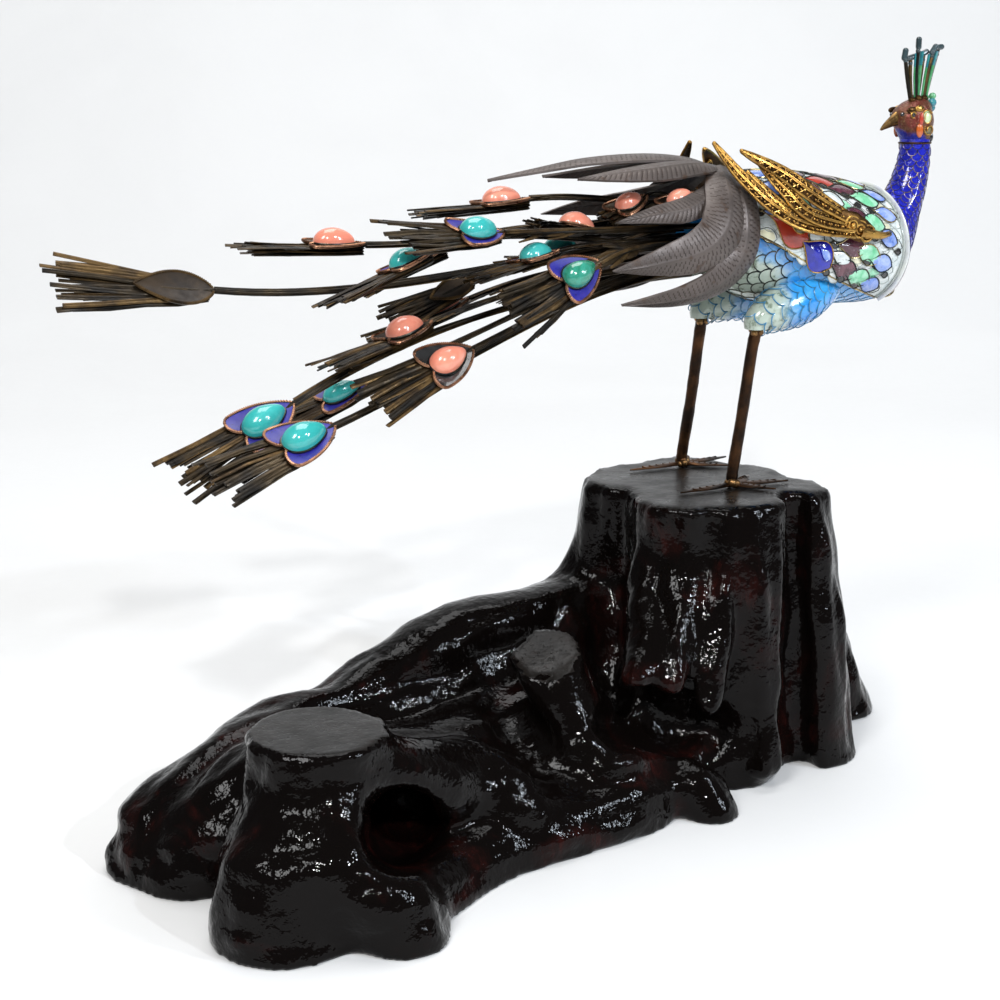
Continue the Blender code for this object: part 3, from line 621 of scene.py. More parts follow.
def limbField(field, axes, rows, width, carve=False):
    # melts one limb into the field, or carves it out
    path = smoothRow(rows, 3)
    low = np.array([min(p[i] - p[3] for p in path) for i in range(3)]) - width * 2 - 3
    high = np.array([max(p[i] + p[3] for p in path) for i in range(3)]) + width * 2 + 3
    spans = [slice(*np.searchsorted(axis, (low[i], high[i]))) for i, axis in enumerate(axes)]
    x, y, z = np.meshgrid(*[axis[span] for axis, span in zip(axes, spans)], indexing="ij", sparse=True)
    limb = None
    for a, b in zip(path, path[1:]):
        step = np.array(b[:3]) - np.array(a[:3])
        length = float(step @ step)
        t = ((x - a[0]) * step[0] + (y - a[1]) * step[1] + (z - a[2]) * step[2]) / length
        t = np.clip(t, 0, 1)
        squares = [(axis - start - t * run) ** 2 for axis, start, run in zip((x, y, z), a, step)]
        gap = np.sqrt(squares[0] + squares[1] + squares[2]) - (a[3] + (b[3] - a[3]) * t)
        limb = gap if limb is None else np.minimum(limb, gap)
    here = field[tuple(spans)]
    field[tuple(spans)] = softMax(here, -limb, width) if carve else softMin(here, limb, width)


def surfaceNet(field, origin, cell):
    # the surface where the field is nought, as points and four-sided faces
    inside = field < 0
    shape = np.array(field.shape) - 1
    total = np.zeros((*shape, 3), np.float32)
    count = np.zeros(shape, np.float32)
    crossings = []
    for axis in range(3):
        others = [i for i in range(3) if i != axis]
        head = [slice(None)] * 3
        tail = [slice(None)] * 3
        head[axis], tail[axis] = slice(0, -1), slice(1, None)
        a, b = field[tuple(head)], field[tuple(tail)]
        cross = inside[tuple(head)] != inside[tuple(tail)]
        places = np.argwhere(cross)
        va, vb = a[cross], b[cross]
        share = va / (va - vb)
        point = places.astype(np.float32)
        point[:, axis] += share
        crossings.append((axis, others, places, va < 0))
        for i in (0, 1):
            for j in (0, 1):
                cellAt = places.copy()
                cellAt[:, others[0]] -= i
                cellAt[:, others[1]] -= j
                good = np.all((cellAt >= 0) & (cellAt < shape), axis=1)
                where = tuple(cellAt[good].T)
                np.add.at(total, where, point[good])
                np.add.at(count, where, 1)
    used = count > 0
    index = np.full(shape, -1)
    index[used] = np.arange(int(used.sum()))
    points = total[used] / count[used][:, None] * cell + np.array(origin)
    faces = []
    for axis, others, places, entering in crossings:
        good = (places[:, others[0]] > 0) & (places[:, others[1]] > 0)
        good &= (places[:, others[0]] < shape[others[0]]) & (places[:, others[1]] < shape[others[1]])
        places, entering = places[good], entering[good]
        corners = []
        for i, j in ((1, 1), (0, 1), (0, 0), (1, 0)):
            cellAt = places.copy()
            cellAt[:, others[0]] -= i
            cellAt[:, others[1]] -= j
            corners.append(index[tuple(cellAt.T)])
        quads = np.stack(corners, axis=1)
        turn = entering if axis != 1 else ~entering
        quads[~turn] = quads[~turn][:, ::-1]
        faces.append(quads)
    return points, np.concatenate(faces)


def onCut(face, centre, middle, facing, reach):
    # whether a face lies on the sawn face that has this middle
    away = centre - middle
    return face.normal.dot(facing) > 0.93 and abs(away.dot(facing)) < 0.8 and away.length < reach


def makeStand():
    look = standLook
    cell = look["cell"]
    low, high = (-131, -60, -4), (52, 42, 62)
    axes = [np.arange(a, b, cell, dtype=np.float32) for a, b in zip(low, high)]
    field = np.full([len(axis) for axis in axes], 30.0, np.float32)
    for rows in limbs:
        limbField(field, axes, rows, look["melt"])
    for rows in hollows:
        limbField(field, axes, rows, look["hollowMelt"], True)
    x, y, z = np.meshgrid(*axes, indexing="ij", sparse=True)
    rim = look["rim"]

    # the sawn faces, each with a softly rounded edge
    cx, cy = knotCut["centre"]
    around = np.sqrt((x - cx) ** 2 + (y - cy) ** 2) - knotCut["reach"]
    cut = np.maximum(knotCut["height"] - z, around)
    field = softMax(field, -cut, rim)
    cx, cy, cz = smallKnotCut["centre"]
    tiltX, tiltY = (radians(turn) for turn in smallKnotCut["tilt"])
    lean = Matrix.Rotation(tiltY, 3, "Y") @ Matrix.Rotation(tiltX, 3, "X") @ up
    above = (x - cx) * lean.x + (y - cy) * lean.y + (z - cz) * lean.z
    around = np.sqrt((x - cx) ** 2 + (y - cy) ** 2) - smallKnotCut["reach"]
    field = softMax(field, -np.maximum(-above, around), rim)
    field = softMax(field, z - stumpTop, rim * 2.2)
    field = np.maximum(field, -z)

    points, faces = surfaceNet(field, low, cell)
    mesh = bpy.data.meshes.new("rootStand")
    mesh.from_pydata((points * mm).tolist(), [], faces.tolist())
    mesh.update()
    turnOutward(mesh)

    # long gouges that follow the roots, and dents between them
    normals = np.zeros(len(points) * 3, np.float32)
    mesh.vertices.foreach_get("normal", normals)
    normals = normals.reshape(-1, 3)
    moved = points.copy()
    for i, (p, n) in enumerate(zip(points, normals)):
        px, py, pz = (float(v) for v in p)
        flat = min(1.0, max(0.0, (0.93 - abs(float(n[2]))) / 0.12)) if pz > 27 or pz < 1.2 else 1.0
        edge = min(1.0, pz / 2.5)
        upright = min(1.0, max(0.0, (px + 34) / 14))
        along = noise.noise(Vector((px * 0.075, py * 0.26, pz * 0.26))) * (1 - upright)
        tall = noise.noise(Vector((px * 0.30, py * 0.30, pz * 0.055))) * upright
        marks = 1 - abs(noise.noise(Vector((px * 0.30, py * 0.30, pz * (0.06 + 0.1 * (1 - upright)))))) * 2
        lump = noise.noise(Vector((px, py, pz)) * 0.11 + Vector((7, 3, 1)))
        depth = look["gouge"] * 1.6 * (along + tall) + look["lump"] * 1.5 * lump - 0.16 * max(0, marks - 0.6)
        moved[i] = p + n * (depth * flat * edge)
    mesh.vertices.foreach_set("co", (moved * mm).astype(np.float32).ravel())
    mesh.update()
    mesh.shade_smooth()
    mesh.materials.append(lacquerMaterial())
    mesh.materials.append(mats["sawn"])
    knot = Vector((knotCut["centre"][0], knotCut["centre"][1], knotCut["height"]))
    small = Vector(smallKnotCut["centre"])
    for face in mesh.polygons:
        centre = face.center / mm
        onTop = face.normal.z > 0.93 and centre.z > stumpTop - 0.7
        onKnot = onCut(face, centre, knot, up, 17)
        if onTop or onKnot or onCut(face, centre, small, lean, 10):
            face.material_index = 1
    piece = bpy.data.objects.new("rootStand", mesh)
    bpy.context.scene.collection.objects.link(piece)
    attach(piece, "root")
    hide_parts("root_stand")
    print("stand:", len(mesh.polygons), "faces")


def lacquerMaterial():
    # near-black lacquer, dark red where it is thin, brush drips and grain showing through
    made = bpy.data.materials.new("root lacquer")
    made.use_nodes = True
    tree = made.node_tree
    shader = tree.nodes["Principled BSDF"]
    place = placeVector(tree)
    grainPlace = placeVector(tree, (1.0, 1.0, 0.22))
    patches = rampNode(tree, noiseNode(tree, place, 55, 4, 0.6, 0.8), 0.52, 0.70)
    streaks = rampNode(tree, noiseNode(tree, grainPlace, 620, 4, 0.6, 0.4), 0.46, 0.70)
    redShare = timesNode(tree, patches, plusNode(tree, timesNode(tree, streaks, 0.7), 0.3))
    tone = mixNode(tree, redShare, (0.0022, 0.0015, 0.0013), (0.021, 0.0040, 0.0032))
    tree.links.new(tone, shader.inputs["Base Color"])
    wander = noiseNode(tree, place, 120, 4, 0.6)
    rough = plusNode(tree, timesNode(tree, rampNode(tree, wander, 0.35, 0.7), 0.07), 0.025)
    tree.links.new(rough, shader.inputs["Roughness"])
    swell = noiseNode(tree, place, 170, 2, 0.5, 0.3)
    drips = noiseNode(tree, place, 900, 2, 0.5)
    height = plusNode(tree, timesNode(tree, swell, 0.7), timesNode(tree, drips, 0.3))
    bump = tree.nodes.new("ShaderNodeBump")
    bump.inputs["Strength"].default_value = 0.5
    bump.inputs["Distance"].default_value = 0.0011
    tree.links.new(height, bump.inputs["Height"])
    tree.links.new(bump.outputs["Normal"], shader.inputs["Normal"])
    shader.inputs["IOR"].default_value = 1.5
    shader.inputs["Specular IOR Level"].default_value = 0.125
    return made


makeStand()


# Body, cape and neck

bodySections = [
    (-5.0, 49.0, 7.0, 7.7),
    (-1.0, 49.3, 7.6, 7.8),
    (4.0, 48.6, 9.8, 10.4),
    (10.0, 47.8, 11.4, 12.0),
    (18.0, 46.9, 12.6, 12.5),
    (28.0, 46.1, 13.0, 11.8),
    (36.0, 45.2, 12.8, 11.0),
    (38.8, 45.3, 12.0, 10.6),
    (40.8, 45.6, 9.8, 9.8),
]
bodyTable = smoothRow(bodySections, 6)
thighPath = [
    (29.0, 3.4, 41.8, 3.8),
    (23.0, 5.0, 39.4, 5.0),
    (16.0, 7.2, 36.4, 5.1),
    (9.0, 8.8, 34.6, 3.9),
    (5.5, 9.1, 33.2, 2.8),
    (5.1, 9.1, 31.6, 2.3),
]
capeLook = dict(
    start=2.0,  # rear edge
    end=40.3,  # at the collar
    rimTop=37.3,
    rimSlant=0.045,
    rimCurl=0.0013,
    rimReach=120,  # how far round the rim goes to each side, in degrees
    rim=0.75,
    lift=1.15,
    sheet=0.5,
    wire=0.13,
)
bodyLook = dict(sides=64, rings=60, scale=3.4, wire=0.12)


def capeEdge(x):
    # the cape's lower edge, in degrees from the top of the back
    return min(80 + 1.75 * x, 140)


def rimAt(angle):
    # where the rim of the cape lies along the body
    slant = capeLook["rimSlant"] * max(0.0, abs(angle) - 80)
    return capeLook["rimTop"] - slant - capeLook["rimCurl"] * max(0.0, abs(angle) - 95) ** 2


def bodyPoint(x, angle, lift=0.0):
    # a point on the body; angle in degrees from the top, to the left where it is positive
    _, middle, halfWidth, halfHeight = lookUp(bodyTable, x)
    turn = radians(angle)
    return bird(x, (halfWidth + lift) * sin(turn), middle + (halfHeight + lift) * cos(turn))


def perDegree(x):
    # millimetres to one degree round the body
    _, _, halfWidth, halfHeight = lookUp(bodyTable, x)
    return radians(1) * (halfWidth + halfHeight) / 2


def scaleArc(at, u, v, length, width):
    # the free edge of one scale: at(u, v) is a point on the surface
    turns = [-pi / 2 + pi * step / 8 for step in range(9)]
    return [at(u - cos(a) * length, v + sin(a) * width / 2) for a in turns]


def makeThigh(body, side):
    path = evenRow([(x, y * side, z, r) for x, y, z, r in thighPath], 40)
    body.tube([bird(*p[:3]) for p in path], [p[3] for p in path], 28, 0)
    # rows of scales down to the leg
    for row, k in enumerate(range(8, 40, 3)):
        x, y, z, r = path[k]
        ahead = (Vector(path[k][:3]) - Vector(path[k - 1][:3])).normalized()
        out = ahead.cross(sideways).normalized()
        level = ahead.cross(out)
        count = max(6, int(2 * pi * r / 2.7))

        def onThigh(u, v):
            place = Vector((x, y, z)) + ahead * u
            return bird(*(place + (out * cos(v) + level * sin(v)) * (r + 0.02)))

        for c in range(count):
            turn = 2 * pi * (c + 0.5 * (row % 2)) / count
            body.tube(scaleArc(onThigh, 0, turn, -1.3, 2 * pi / count), bodyLook["wire"], 4, 2)


def makeBody():
    body = Shape()
    first, last = bodySections[0][0], bodySections[-1][0]
    rows = []
    for k in range(bodyLook["rings"] + 1):
        x = first + (last - first) * k / bodyLook["rings"]
        rows.append([bodyPoint(x, 360 * side / bodyLook["sides"]) for side in range(bodyLook["sides"])])
    body.skin(rows, 0)
    for side in (-1, 1):
        makeThigh(body, side)
    # scales below the cape: fine ones in the blue, bold ones on the pale rear
    size = bodyLook["scale"]
    row = 0
    x = -3.5
    while x < 39:
        count = int(360 / (size / perDegree(x)))
        for c in range(count):
            angle = -180 + 360 * (c + 0.5 * (row % 2)) / count
            if abs(angle) < capeEdge(x) - 4 and x > 1:
                continue
            bold = x < 13 and abs(angle) > 95
            arc = scaleArc(lambda u, v: bodyPoint(u, v, 0.03), x, angle, size * 0.55, 360 / count)
            body.tube(arc, bodyLook["wire"] * (1.15 if bold else 0.75), 4, 1 if bold else 2)
        x += size * 0.55
        row += 1
    finish = [skyMaterial(), mats["darkCloison"], mats["skyWire"]]
    body.make("bodyShell", finish, "sky_enamel", ["body_shell"], 60)


def skyMaterial():
    # bright blue in front and below the cape, pale grey green on the rear
    made = mats["sky"]
    tree = made.node_tree
    place = placeVector(tree)
    axes = placeAxes(tree, place)
    wander = timesNode(tree, noiseNode(tree, place, 160, 3, 0.6), 0.010)
    rear = rampNode(tree, plusNode(tree, axes["X"], wander), 0.0185, 0.0125)
    low = rampNode(tree, plusNode(tree, axes["Z"], wander), 0.1075, 0.1030)
    blotch = rampNode(tree, noiseNode(tree, place, 420, 4, 0.6), 0.50, 0.66)
    grey = mixNode(tree, blotch, (0.40, 0.47, 0.40), (0.10, 0.14, 0.09))
    layTone(tree, timesNode(tree, rear, low), grey)
    return made


# each feather cell: place along the body, degrees from the top, length, width, colour
capeCells = []
rowPlan = [
    (32.6, "paleBlue", [12, 34, 56, 78, 100, 121], 4.6, 3.6),
    (28.6, "mint", [0, 22, 43, 67, 93, 114], 5.4, 3.9),
    (24.4, "purple", [12, 36, 63, 88, 107], 5.6, 4.3),
    (20.4, "red", [26], 5.4, 4.6),
    (20.4, "mint", [0], 5.2, 4.2),
    (20.0, "white", [48, 76], 5.0, 4.0),
    (19.6, "purple", [107], 5.6, 4.4),
    (16.0, "purple", [13, 38], 5.2, 4.4),
    (11.8, "mint", [0, 26, 52], 5.2, 4.4),
    (7.6, "paleBlue", [14, 40, 64], 5.0, 4.2),
]
for place, colour, angles, length, width in rowPlan:
    for angle in angles:
        for side in (-1, 1):
            if angle == 0 and side == 1:
                continue
            back = 0.055 * max(0, angle - 60)
            if place > 30:
                back += 0.05 * max(0, 30 - angle)
            capeCells.append((place - back, side * angle, length, width, colour))


# the two large petals under each wing with the white tufts beside them: place, degrees from the top,
# length, width, colour, wire, height of the dome, turn, lift and bend
largePetals = [
    (20.6, 97, 6.4, 2.6, "white", "darkCloison", 0.30, 0.50, 1.45, 0.2),
    (14.4, 80, 5.4, 3.2, "white", "darkCloison", 0.30, 0.50, 1.45, 0.0),
    (9.6, 76, 9.0, 6.4, "red", "gilt", 0.55, 0.55, 1.50, 0.1),
    (10.6, 74, 4.4, 2.6, "olive", "gilt", 0.20, 0.55, 2.05, 0.0),
    (15.2, 95, 8.6, 6.0, "cobalt", "gilt", 0.55, 0.62, 1.55, 0.1),
    (16.6, 95, 3.4, 1.7, "paleBlue", "cobalt", 0.15, 0.62, 2.10, 0.0),
]
darkSpots = [(34.9, 56), (34.6, 90), (32.4, 112), (31.0, 72), (26.4, 52), (29.4, 104)]


def featherOutline(length, width, bend=0.0, count=22):
    # pointed to the tail, round to the neck, the point bent aside
    half = count // 2
    right, left = [], []
    for k in range(half + 1):
        t = k / half
        v = width / 2 * sin(pi * t**1.5) ** (1.3 - 0.6 * t) if 0 < k < half else 0.0
        drift = bend * (1 - t) ** 2 * width
        right.append((length * (t - 0.5), drift + v))
        left.append((length * (t - 0.5), drift - v))
    return right + left[-2:0:-1]


def capeCell(cape, x, angle, length, width, slot, wireSlot, dome=0.25, turn=0.0, lift=1.3, bend=0.0):
    # one cell: a low dome of enamel in a frame of wire
    outline = featherOutline(length, width, bend)
    centreScale = perDegree(x)
    middle = length * 0.1

    def at(u, v, rise):
        cu = u * cos(turn) - v * sin(turn)
        cv = u * sin(turn) + v * cos(turn)
        return bodyPoint(x + cu, angle + cv / centreScale, lift + rise)

    rings = []
    for share in (1.0, 0.85, 0.6, 0.3):
        rise = dome * (1 - share**2) - 0.1
        rings.append([at(middle + (u - middle) * share, v * share, rise) for u, v in outline])
    cape.dome(rings, at(middle, 0, dome - 0.1), slot)
    wire = capeLook["wire"] * (0.7 if dome < 0.2 else 1)
    cape.loop([at(u, v, -0.03) for u, v in outline], wire, 5, wireSlot)


def capeGround(cape, slots):
    # a closed skin behind the rim, and another in front of it for the lilac-brown breast band
    columns, steps = 72, 64
    lift = capeLook["lift"]
    for slot in ("white", "lilac"):
        behind = slot == "white"
        grid = []
        for r in range(steps + 1):
            t = r / steps
            row, inner = [], []
            for c in range(columns + 1):
                share = 2 * c / columns - 1
                rim = rimAt(share * capeLook["rimReach"])
                near, far = (capeLook["start"], rim) if behind else (rim, capeLook["end"])
                x = near + (far - near) * t
                angle = share * capeEdge(x)
                front = lift if behind else lift - 0.25 * t
                row.append(bodyPoint(x, angle, front))
                inner.append(bodyPoint(x, angle, front - capeLook["sheet"]))
            grid.append(row + inner[::-1])
        cape.skin(grid, slots[slot])


def makeCape():
    names = [
        "white", "mint", "paleBlue", "purple", "red", "olive", "cobalt", "cream", "dark", "lilac",
        "cloison", "gilt", "darkCloison", "greyLine", "rim",
    ]
    slots = {name: i for i, name in enumerate(names)}
    cape = Shape()
    lift = capeLook["lift"]
    capeGround(cape, slots)

    # small white cells everywhere, then the coloured ones over them, each with a dark tip
    rand = random.Random(4)
    x = capeLook["rimTop"] - 2.6
    row = 0
    while x > capeLook["start"] + 2:
        for k in range(-14, 15):
            angle = 10.5 * (k + 0.5 * (row % 2)) + rand.uniform(-1.5, 1.5)
            if abs(angle) > capeEdge(x) - 5:
                continue
            tone = rand.choice(("white", "white", "white", "cream", "mint" if row % 3 == 1 else "white"))
            place = x - 0.05 * max(0, abs(angle) - 60) + rand.uniform(-0.4, 0.4)
            turn = radians(-16 if angle < 0 else 16) * min(1, abs(angle) / 50)
            line = slots["darkCloison" if rand.random() < 0.22 else "greyLine"]
            capeCell(cape, place, angle, 4.6, 2.4, slots[tone], line, 0.14, turn, lift + 0.06)
        x -= 2.9
        row += 1
    for x, angle, length, width, colour in capeCells:
        if abs(angle) > capeEdge(x) - 6:
            continue
        side = -1 if angle < 0 else 1
        turn = radians(14) * side * min(1, abs(angle) / 50) + radians(rand.uniform(-8, 8))
        wireSlot = slots["cloison" if rand.random() < 0.5 else "darkCloison"]
        length, width = length * rand.uniform(1.30, 1.50), width * rand.uniform(0.88, 1.0)
        over = lift + 0.15 + 0.008 * x
        capeCell(cape, x, angle, length, width, slots[colour], wireSlot, 0.26, turn, over, side * 0.12)
        if rand.random() < 0.9:
            tipAngle = angle - side * 3.0 + side * sin(abs(turn)) * length * 0.55 / perDegree(x)
            tip = (slots["dark"], slots["darkCloison"], 0.10, turn, over + 0.06)
            capeCell(cape, x - length * 0.53, tipAngle, 2.3, 1.3, *tip)
    for side in (-1, 1):
        for x, angle, length, width, colour, wire, dome, turn, over, bend in largePetals:
            looks = (slots[colour], slots[wire], dome, side * turn, over, side * bend)
            capeCell(cape, x, side * angle, length, width, *looks)
        for x, angle in darkSpots:
            inks = slots["dark"], slots["darkCloison"]
            capeCell(cape, x, side * angle, 1.9, 1.3, *inks, 0.08, 0, lift + 0.25)

    # the rim with a line on each side, and the lower edges
    shares = [2 * k / 60 - 1 for k in range(61)]
    rounds = (
        (0.0, capeLook["rim"], 12, "rim", 0.25, 0.5),
        (-1.0, 0.15, 6, "greyLine", 0.2, 1.0),
        (0.85, 0.15, 6, "darkCloison", 0.2, 1.0),
    )
    for shift, radius, sides, wire, over, flat in rounds:
        line = []
        for s in shares:
            x = rimAt(s * capeLook["rimReach"]) + shift
            line.append(bodyPoint(x, s * capeEdge(36), lift + over))
        cape.tube(line, radius, sides, slots[wire], flat)
    for side in (-1, 1):
        edge = []
        for k in range(49):
            x = capeLook["start"] + (capeLook["end"] - capeLook["start"]) * k / 48
            edge.append(bodyPoint(x, side * capeEdge(x), lift - 0.1))
        cape.tube(edge, 0.26, 8, slots["cloison"])
    cape.make("featherCape", [mats[name] for name in names], "cape_enamel", ["feather_cape"], 50)


neckRings = [
    (41.1, 45.6, 90, 9.7, 9.7),
    (43.0, 46.6, 84, 7.7, 8.3),
    (45.2, 49.6, 48, 5.9, 5.6),
    (47.1, 53.1, 26, 4.4, 4.4),
    (48.8, 56.8, 13, 3.8, 3.8),
    (49.8, 60.6, 5, 3.35, 3.45),
    (50.3, 63.8, 0, 3.1, 3.2),
    (50.1, 66.4, 0, 3.0, 3.1),
]
neckTable = smoothRow([(i, *row) for i, row in enumerate(neckRings)], 8)
neckLook = dict(sides=56, rings=70, wire=0.10, scale=2.2, firstScale=0.5, lastScale=6.8, crook=2.2)


def neckPoint(t, angle, lift=0.0):
    # t counts the rings, angle is in degrees from the front
    _, x, z, lean, halfWidth, halfDepth = lookUp(neckTable, t)
    across = Vector((cos(radians(lean)), 0, -sin(radians(lean))))
    turn = radians(angle)
    away = across * ((halfDepth + lift) * cos(turn)) + sideways * ((halfWidth + lift) * sin(turn))
    return bird(x, 0, z) + away * mm


def makeNeck():
    neck = Shape()
    sides, rings = neckLook["sides"], neckLook["rings"]
    top = len(neckRings) - 1
    rows = [[neckPoint(top * r / rings, 360 * k / sides) for k in range(sides)] for r in range(rings + 1)]
    neck.skin(rows, 0)
    # fish scales of thin wire, left out inside the crook of the neck
    t = neckLook["firstScale"]
    row = 0
    while t < neckLook["lastScale"]:
        _, x, z, _, halfWidth, halfDepth = lookUp(neckTable, t)
        count = max(7, round(2 * pi * (halfWidth + halfDepth) / 2 / neckLook["scale"]))
        above = lookUp(neckTable, min(t + 0.2, top))
        perRing = max(0.5, sqrt((above[1] - x) ** 2 + (above[2] - z) ** 2) / 0.2)
        reach = neckLook["scale"] * 0.55 / perRing
        for c in range(count):
            if t < neckLook["crook"] and 0.3 < (c + 0.5 * (row % 2)) / count < 0.7:
                continue
            arc = []
            for step in range(9):
                a = -pi / 2 + pi * step / 8
                turn = 360 * (c + 0.5 * (row % 2) + sin(a) / 2) / count
                arc.append(neckPoint(min(t - cos(a) * reach, top), turn, 0.02))
            neck.tube(arc, neckLook["wire"], 4, 1)
        t += reach
        row += 1
    neck.make("neckAndBreast", [neckMaterial(), mats["blueWire"]], "cobalt_enamel", ["neck_and_breast"], 60)


def neckMaterial():
    # cobalt above, brown lilac on the breast
    made = enamel(
        "neck enamel", (0.008, 0.014, 0.40), (0.004, 0.006, 0.22),
        spotShare=0.1, rough=(0.05, 0.14), bump=0.6, bumpDepth=0.0003,
    )
    tree = made.node_tree
    place = placeVector(tree)
    wander = timesNode(tree, noiseNode(tree, place, 260, 3, 0.6), 0.006)
    share = rampNode(tree, plusNode(tree, placeAxes(tree, place)["Z"], wander), 0.1035, 0.0960)
    layTone(tree, share, (0.13, 0.09, 0.10))
    return made


makeBody()
makeCape()
makeNeck()
print("body, cape and neck made")


# Head and crest

headRings = [
    (50.1, 65.6, 2.7, 2.8),
    (50.0, 66.6, 3.0, 3.1),
    (49.7, 68.1, 3.4, 3.8),
    (49.2, 70.0, 3.7, 4.7),
    (49.1, 71.8, 3.4, 4.4),
    (49.8, 73.4, 2.6, 3.3),
    (50.4, 74.4, 1.4, 1.8),
]
beakLine = [
    (47.2, 71.0, 1.9), (45.4, 70.5, 1.45), (43.8, 69.9, 1.0),
    (42.4, 69.2, 0.66), (41.4, 68.6, 0.34), (40.9, 68.2, 0.12),
]
# raised patches of enamel on each cheek, and one of painted shade at the foot of the beak: centre, half
# sizes, colour
headPatches = [
    ((49.9, 3.45, 70.7), (1.05, 0.45, 1.25), "paleGreen"),
    ((48.3, 3.35, 68.2), (0.85, 0.45, 1.5), "orange"),
    ((50.6, 3.05, 68.4), (1.3, 0.45, 1.1), "olive"),
    ((48.4, 3.55, 70.4), (0.5, 0.35, 1.3), "red"),
    ((46.6, 2.8, 72.1), (1.4, 0.4, 0.7), "giltDark"),
    ((48.2, 3.1, 72.4), (1.2, 0.5, 0.7), "gilt"),
    # painted shade: the dark under the brow at the foot of the beak
    ((45.4, 1.6, 71.3), (0.8, 0.4, 0.45), "dark"),
    ((53.0, 1.5, 66.8), (0.55, 0.45, 1.0), "dark"),
]


def makeHead():
    head = Shape()
    names = ["gilt", "dark", "giltDark", "paleGreen", "orange", "olive", "red", "beak"]
    slots = {name: i + 1 for i, name in enumerate(names)}
    table = smoothRow([(i, *row) for i, row in enumerate(headRings)], 6)
    rows = []
    for _, x, z, halfWidth, halfDepth in table:
        rows.append([bird(x + halfDepth * cos(a), halfWidth * sin(a), z) for a in fullTurn(40)])
    head.skin(rows, 0)
    # beak: a gilt upper half over a dark lower half
    beak = smoothRow(beakLine, 3)
    upper = [bird(x, 0, z + r * 0.22) for x, z, r in beak]
    lower = [bird(x + 0.35, 0, z - r * 0.35) for x, z, r in beak]
    ridge = [p + up * r * 0.42 * mm for p, (_, _, r) in zip(upper, beak)]
    head.tube(upper, [r * 0.84 for _, _, r in beak], 16, slots["beak"], guide=up)
    head.tube(ridge, [r * 0.5 for _, _, r in beak], 12, slots["gilt"], guide=up)
    head.tube(lower, [r * 0.66 for _, _, r in beak], 12, slots["giltDark"], guide=up)
    for side in (-1, 1):
        for (x, y, z), (a, b, c), tone in headPatches:
            stretch = (Vector((a, 0, 0)), Vector((0, b, 0)), Vector((0, 0, c)))
            head.ball(bird(x, y * side, z), 1, slots[tone], 3, stretch)
        head.ball(bird(46.7, side * 3.05, 71.2), 0.46, slots["dark"], 2)
        eye = bird(46.7, side * 3.1, 71.2)
        ring = [eye + Vector((cos(a), 0, sin(a))) * 0.6 * mm for a in fullTurn(14)]
        head.loop(ring, 0.16, 5, slots["gilt"])
        # a scroll of wire round the pale patch, and one below it
        for (cx, cz, start, turns, size) in ((49.9, 70.7, 0.6, 1.5, 1.5), (50.6, 68.3, 2.4, 1.2, 1.25)):
            scroll = []
            for k in range(20):
                a = start + k * 2 * pi * turns / 19
                r = size * (1 - 0.028 * k)
                scroll.append(bird(cx + r * cos(a), side * (3.45 + 0.012 * k), cz + r * sin(a)))
            head.tube(scroll, 0.17, 6, slots["gilt"])
    collar = [neckPoint(6.7, 360 * k / 30, 0.1) for k in range(30)]
    head.loop(collar, 0.22, 6, slots["giltDark"])
    head.make("head", [headMaterial(), *[mats[name] for name in names]], "gilt_copper", ["head"], 50)


def headMaterial():
    # worn copper and gilt above, cobalt under the beak
    made = metal(
        "head copper", (0.13, 0.050, 0.022), (0.15, 0.020, 0.013), spot=(0.30, 0.20, 0.07), spotShare=0.6,
        metal=0.45, rough=(0.25, 0.45), cloudScale=430.0, bump=0.8, bumpScale=800.0, bumpDepth=0.0004,
    )
    tree = made.node_tree
    place = placeVector(tree)
    axes = placeAxes(tree, place)
    # the line between copper and cobalt slopes down to the back
    slope = plusNode(tree, axes["Z"], timesNode(tree, axes["X"], 0.35))
    wander = timesNode(tree, noiseNode(tree, place, 420, 3, 0.6), 0.003)
    layTone(tree, rampNode(tree, plusNode(tree, slope, wander), 0.1408, 0.1396), (0.008, 0.014, 0.24))
    return made


# each wire of the crest: x, z and y of its tip, the lean of its knob in degrees above level, and its slot
crestTips = [
    (45.9, 83.0, -0.4, 80, 0),
    (48.2, 82.4, 0.5, 15, 1),
    (49.7, 85.2, 0.0, 90, 0),
    (51.7, 83.3, 0.6, 25, 1),
    (53.3, 84.0, -0.5, 55, 1),
    (55.2, 84.5, 0.2, 8, 0),
]
crestBeads = [  # place, radius and slot
    (53.6, -0.6, 73.6, 0.95, 4),
    (54.2, 0.2, 72.6, 0.85, 4),
    (53.9, -0.3, 74.9, 0.75, 3),
    (52.6, 0.4, 74.6, 0.80, 3),
    (51.2, -0.9, 74.4, 0.80, 5),
    (49.6, -1.0, 74.3, 0.85, 5),
    (48.2, -0.7, 74.0, 0.80, 5),
    (50.4, 0.9, 74.4, 0.90, 5),
]


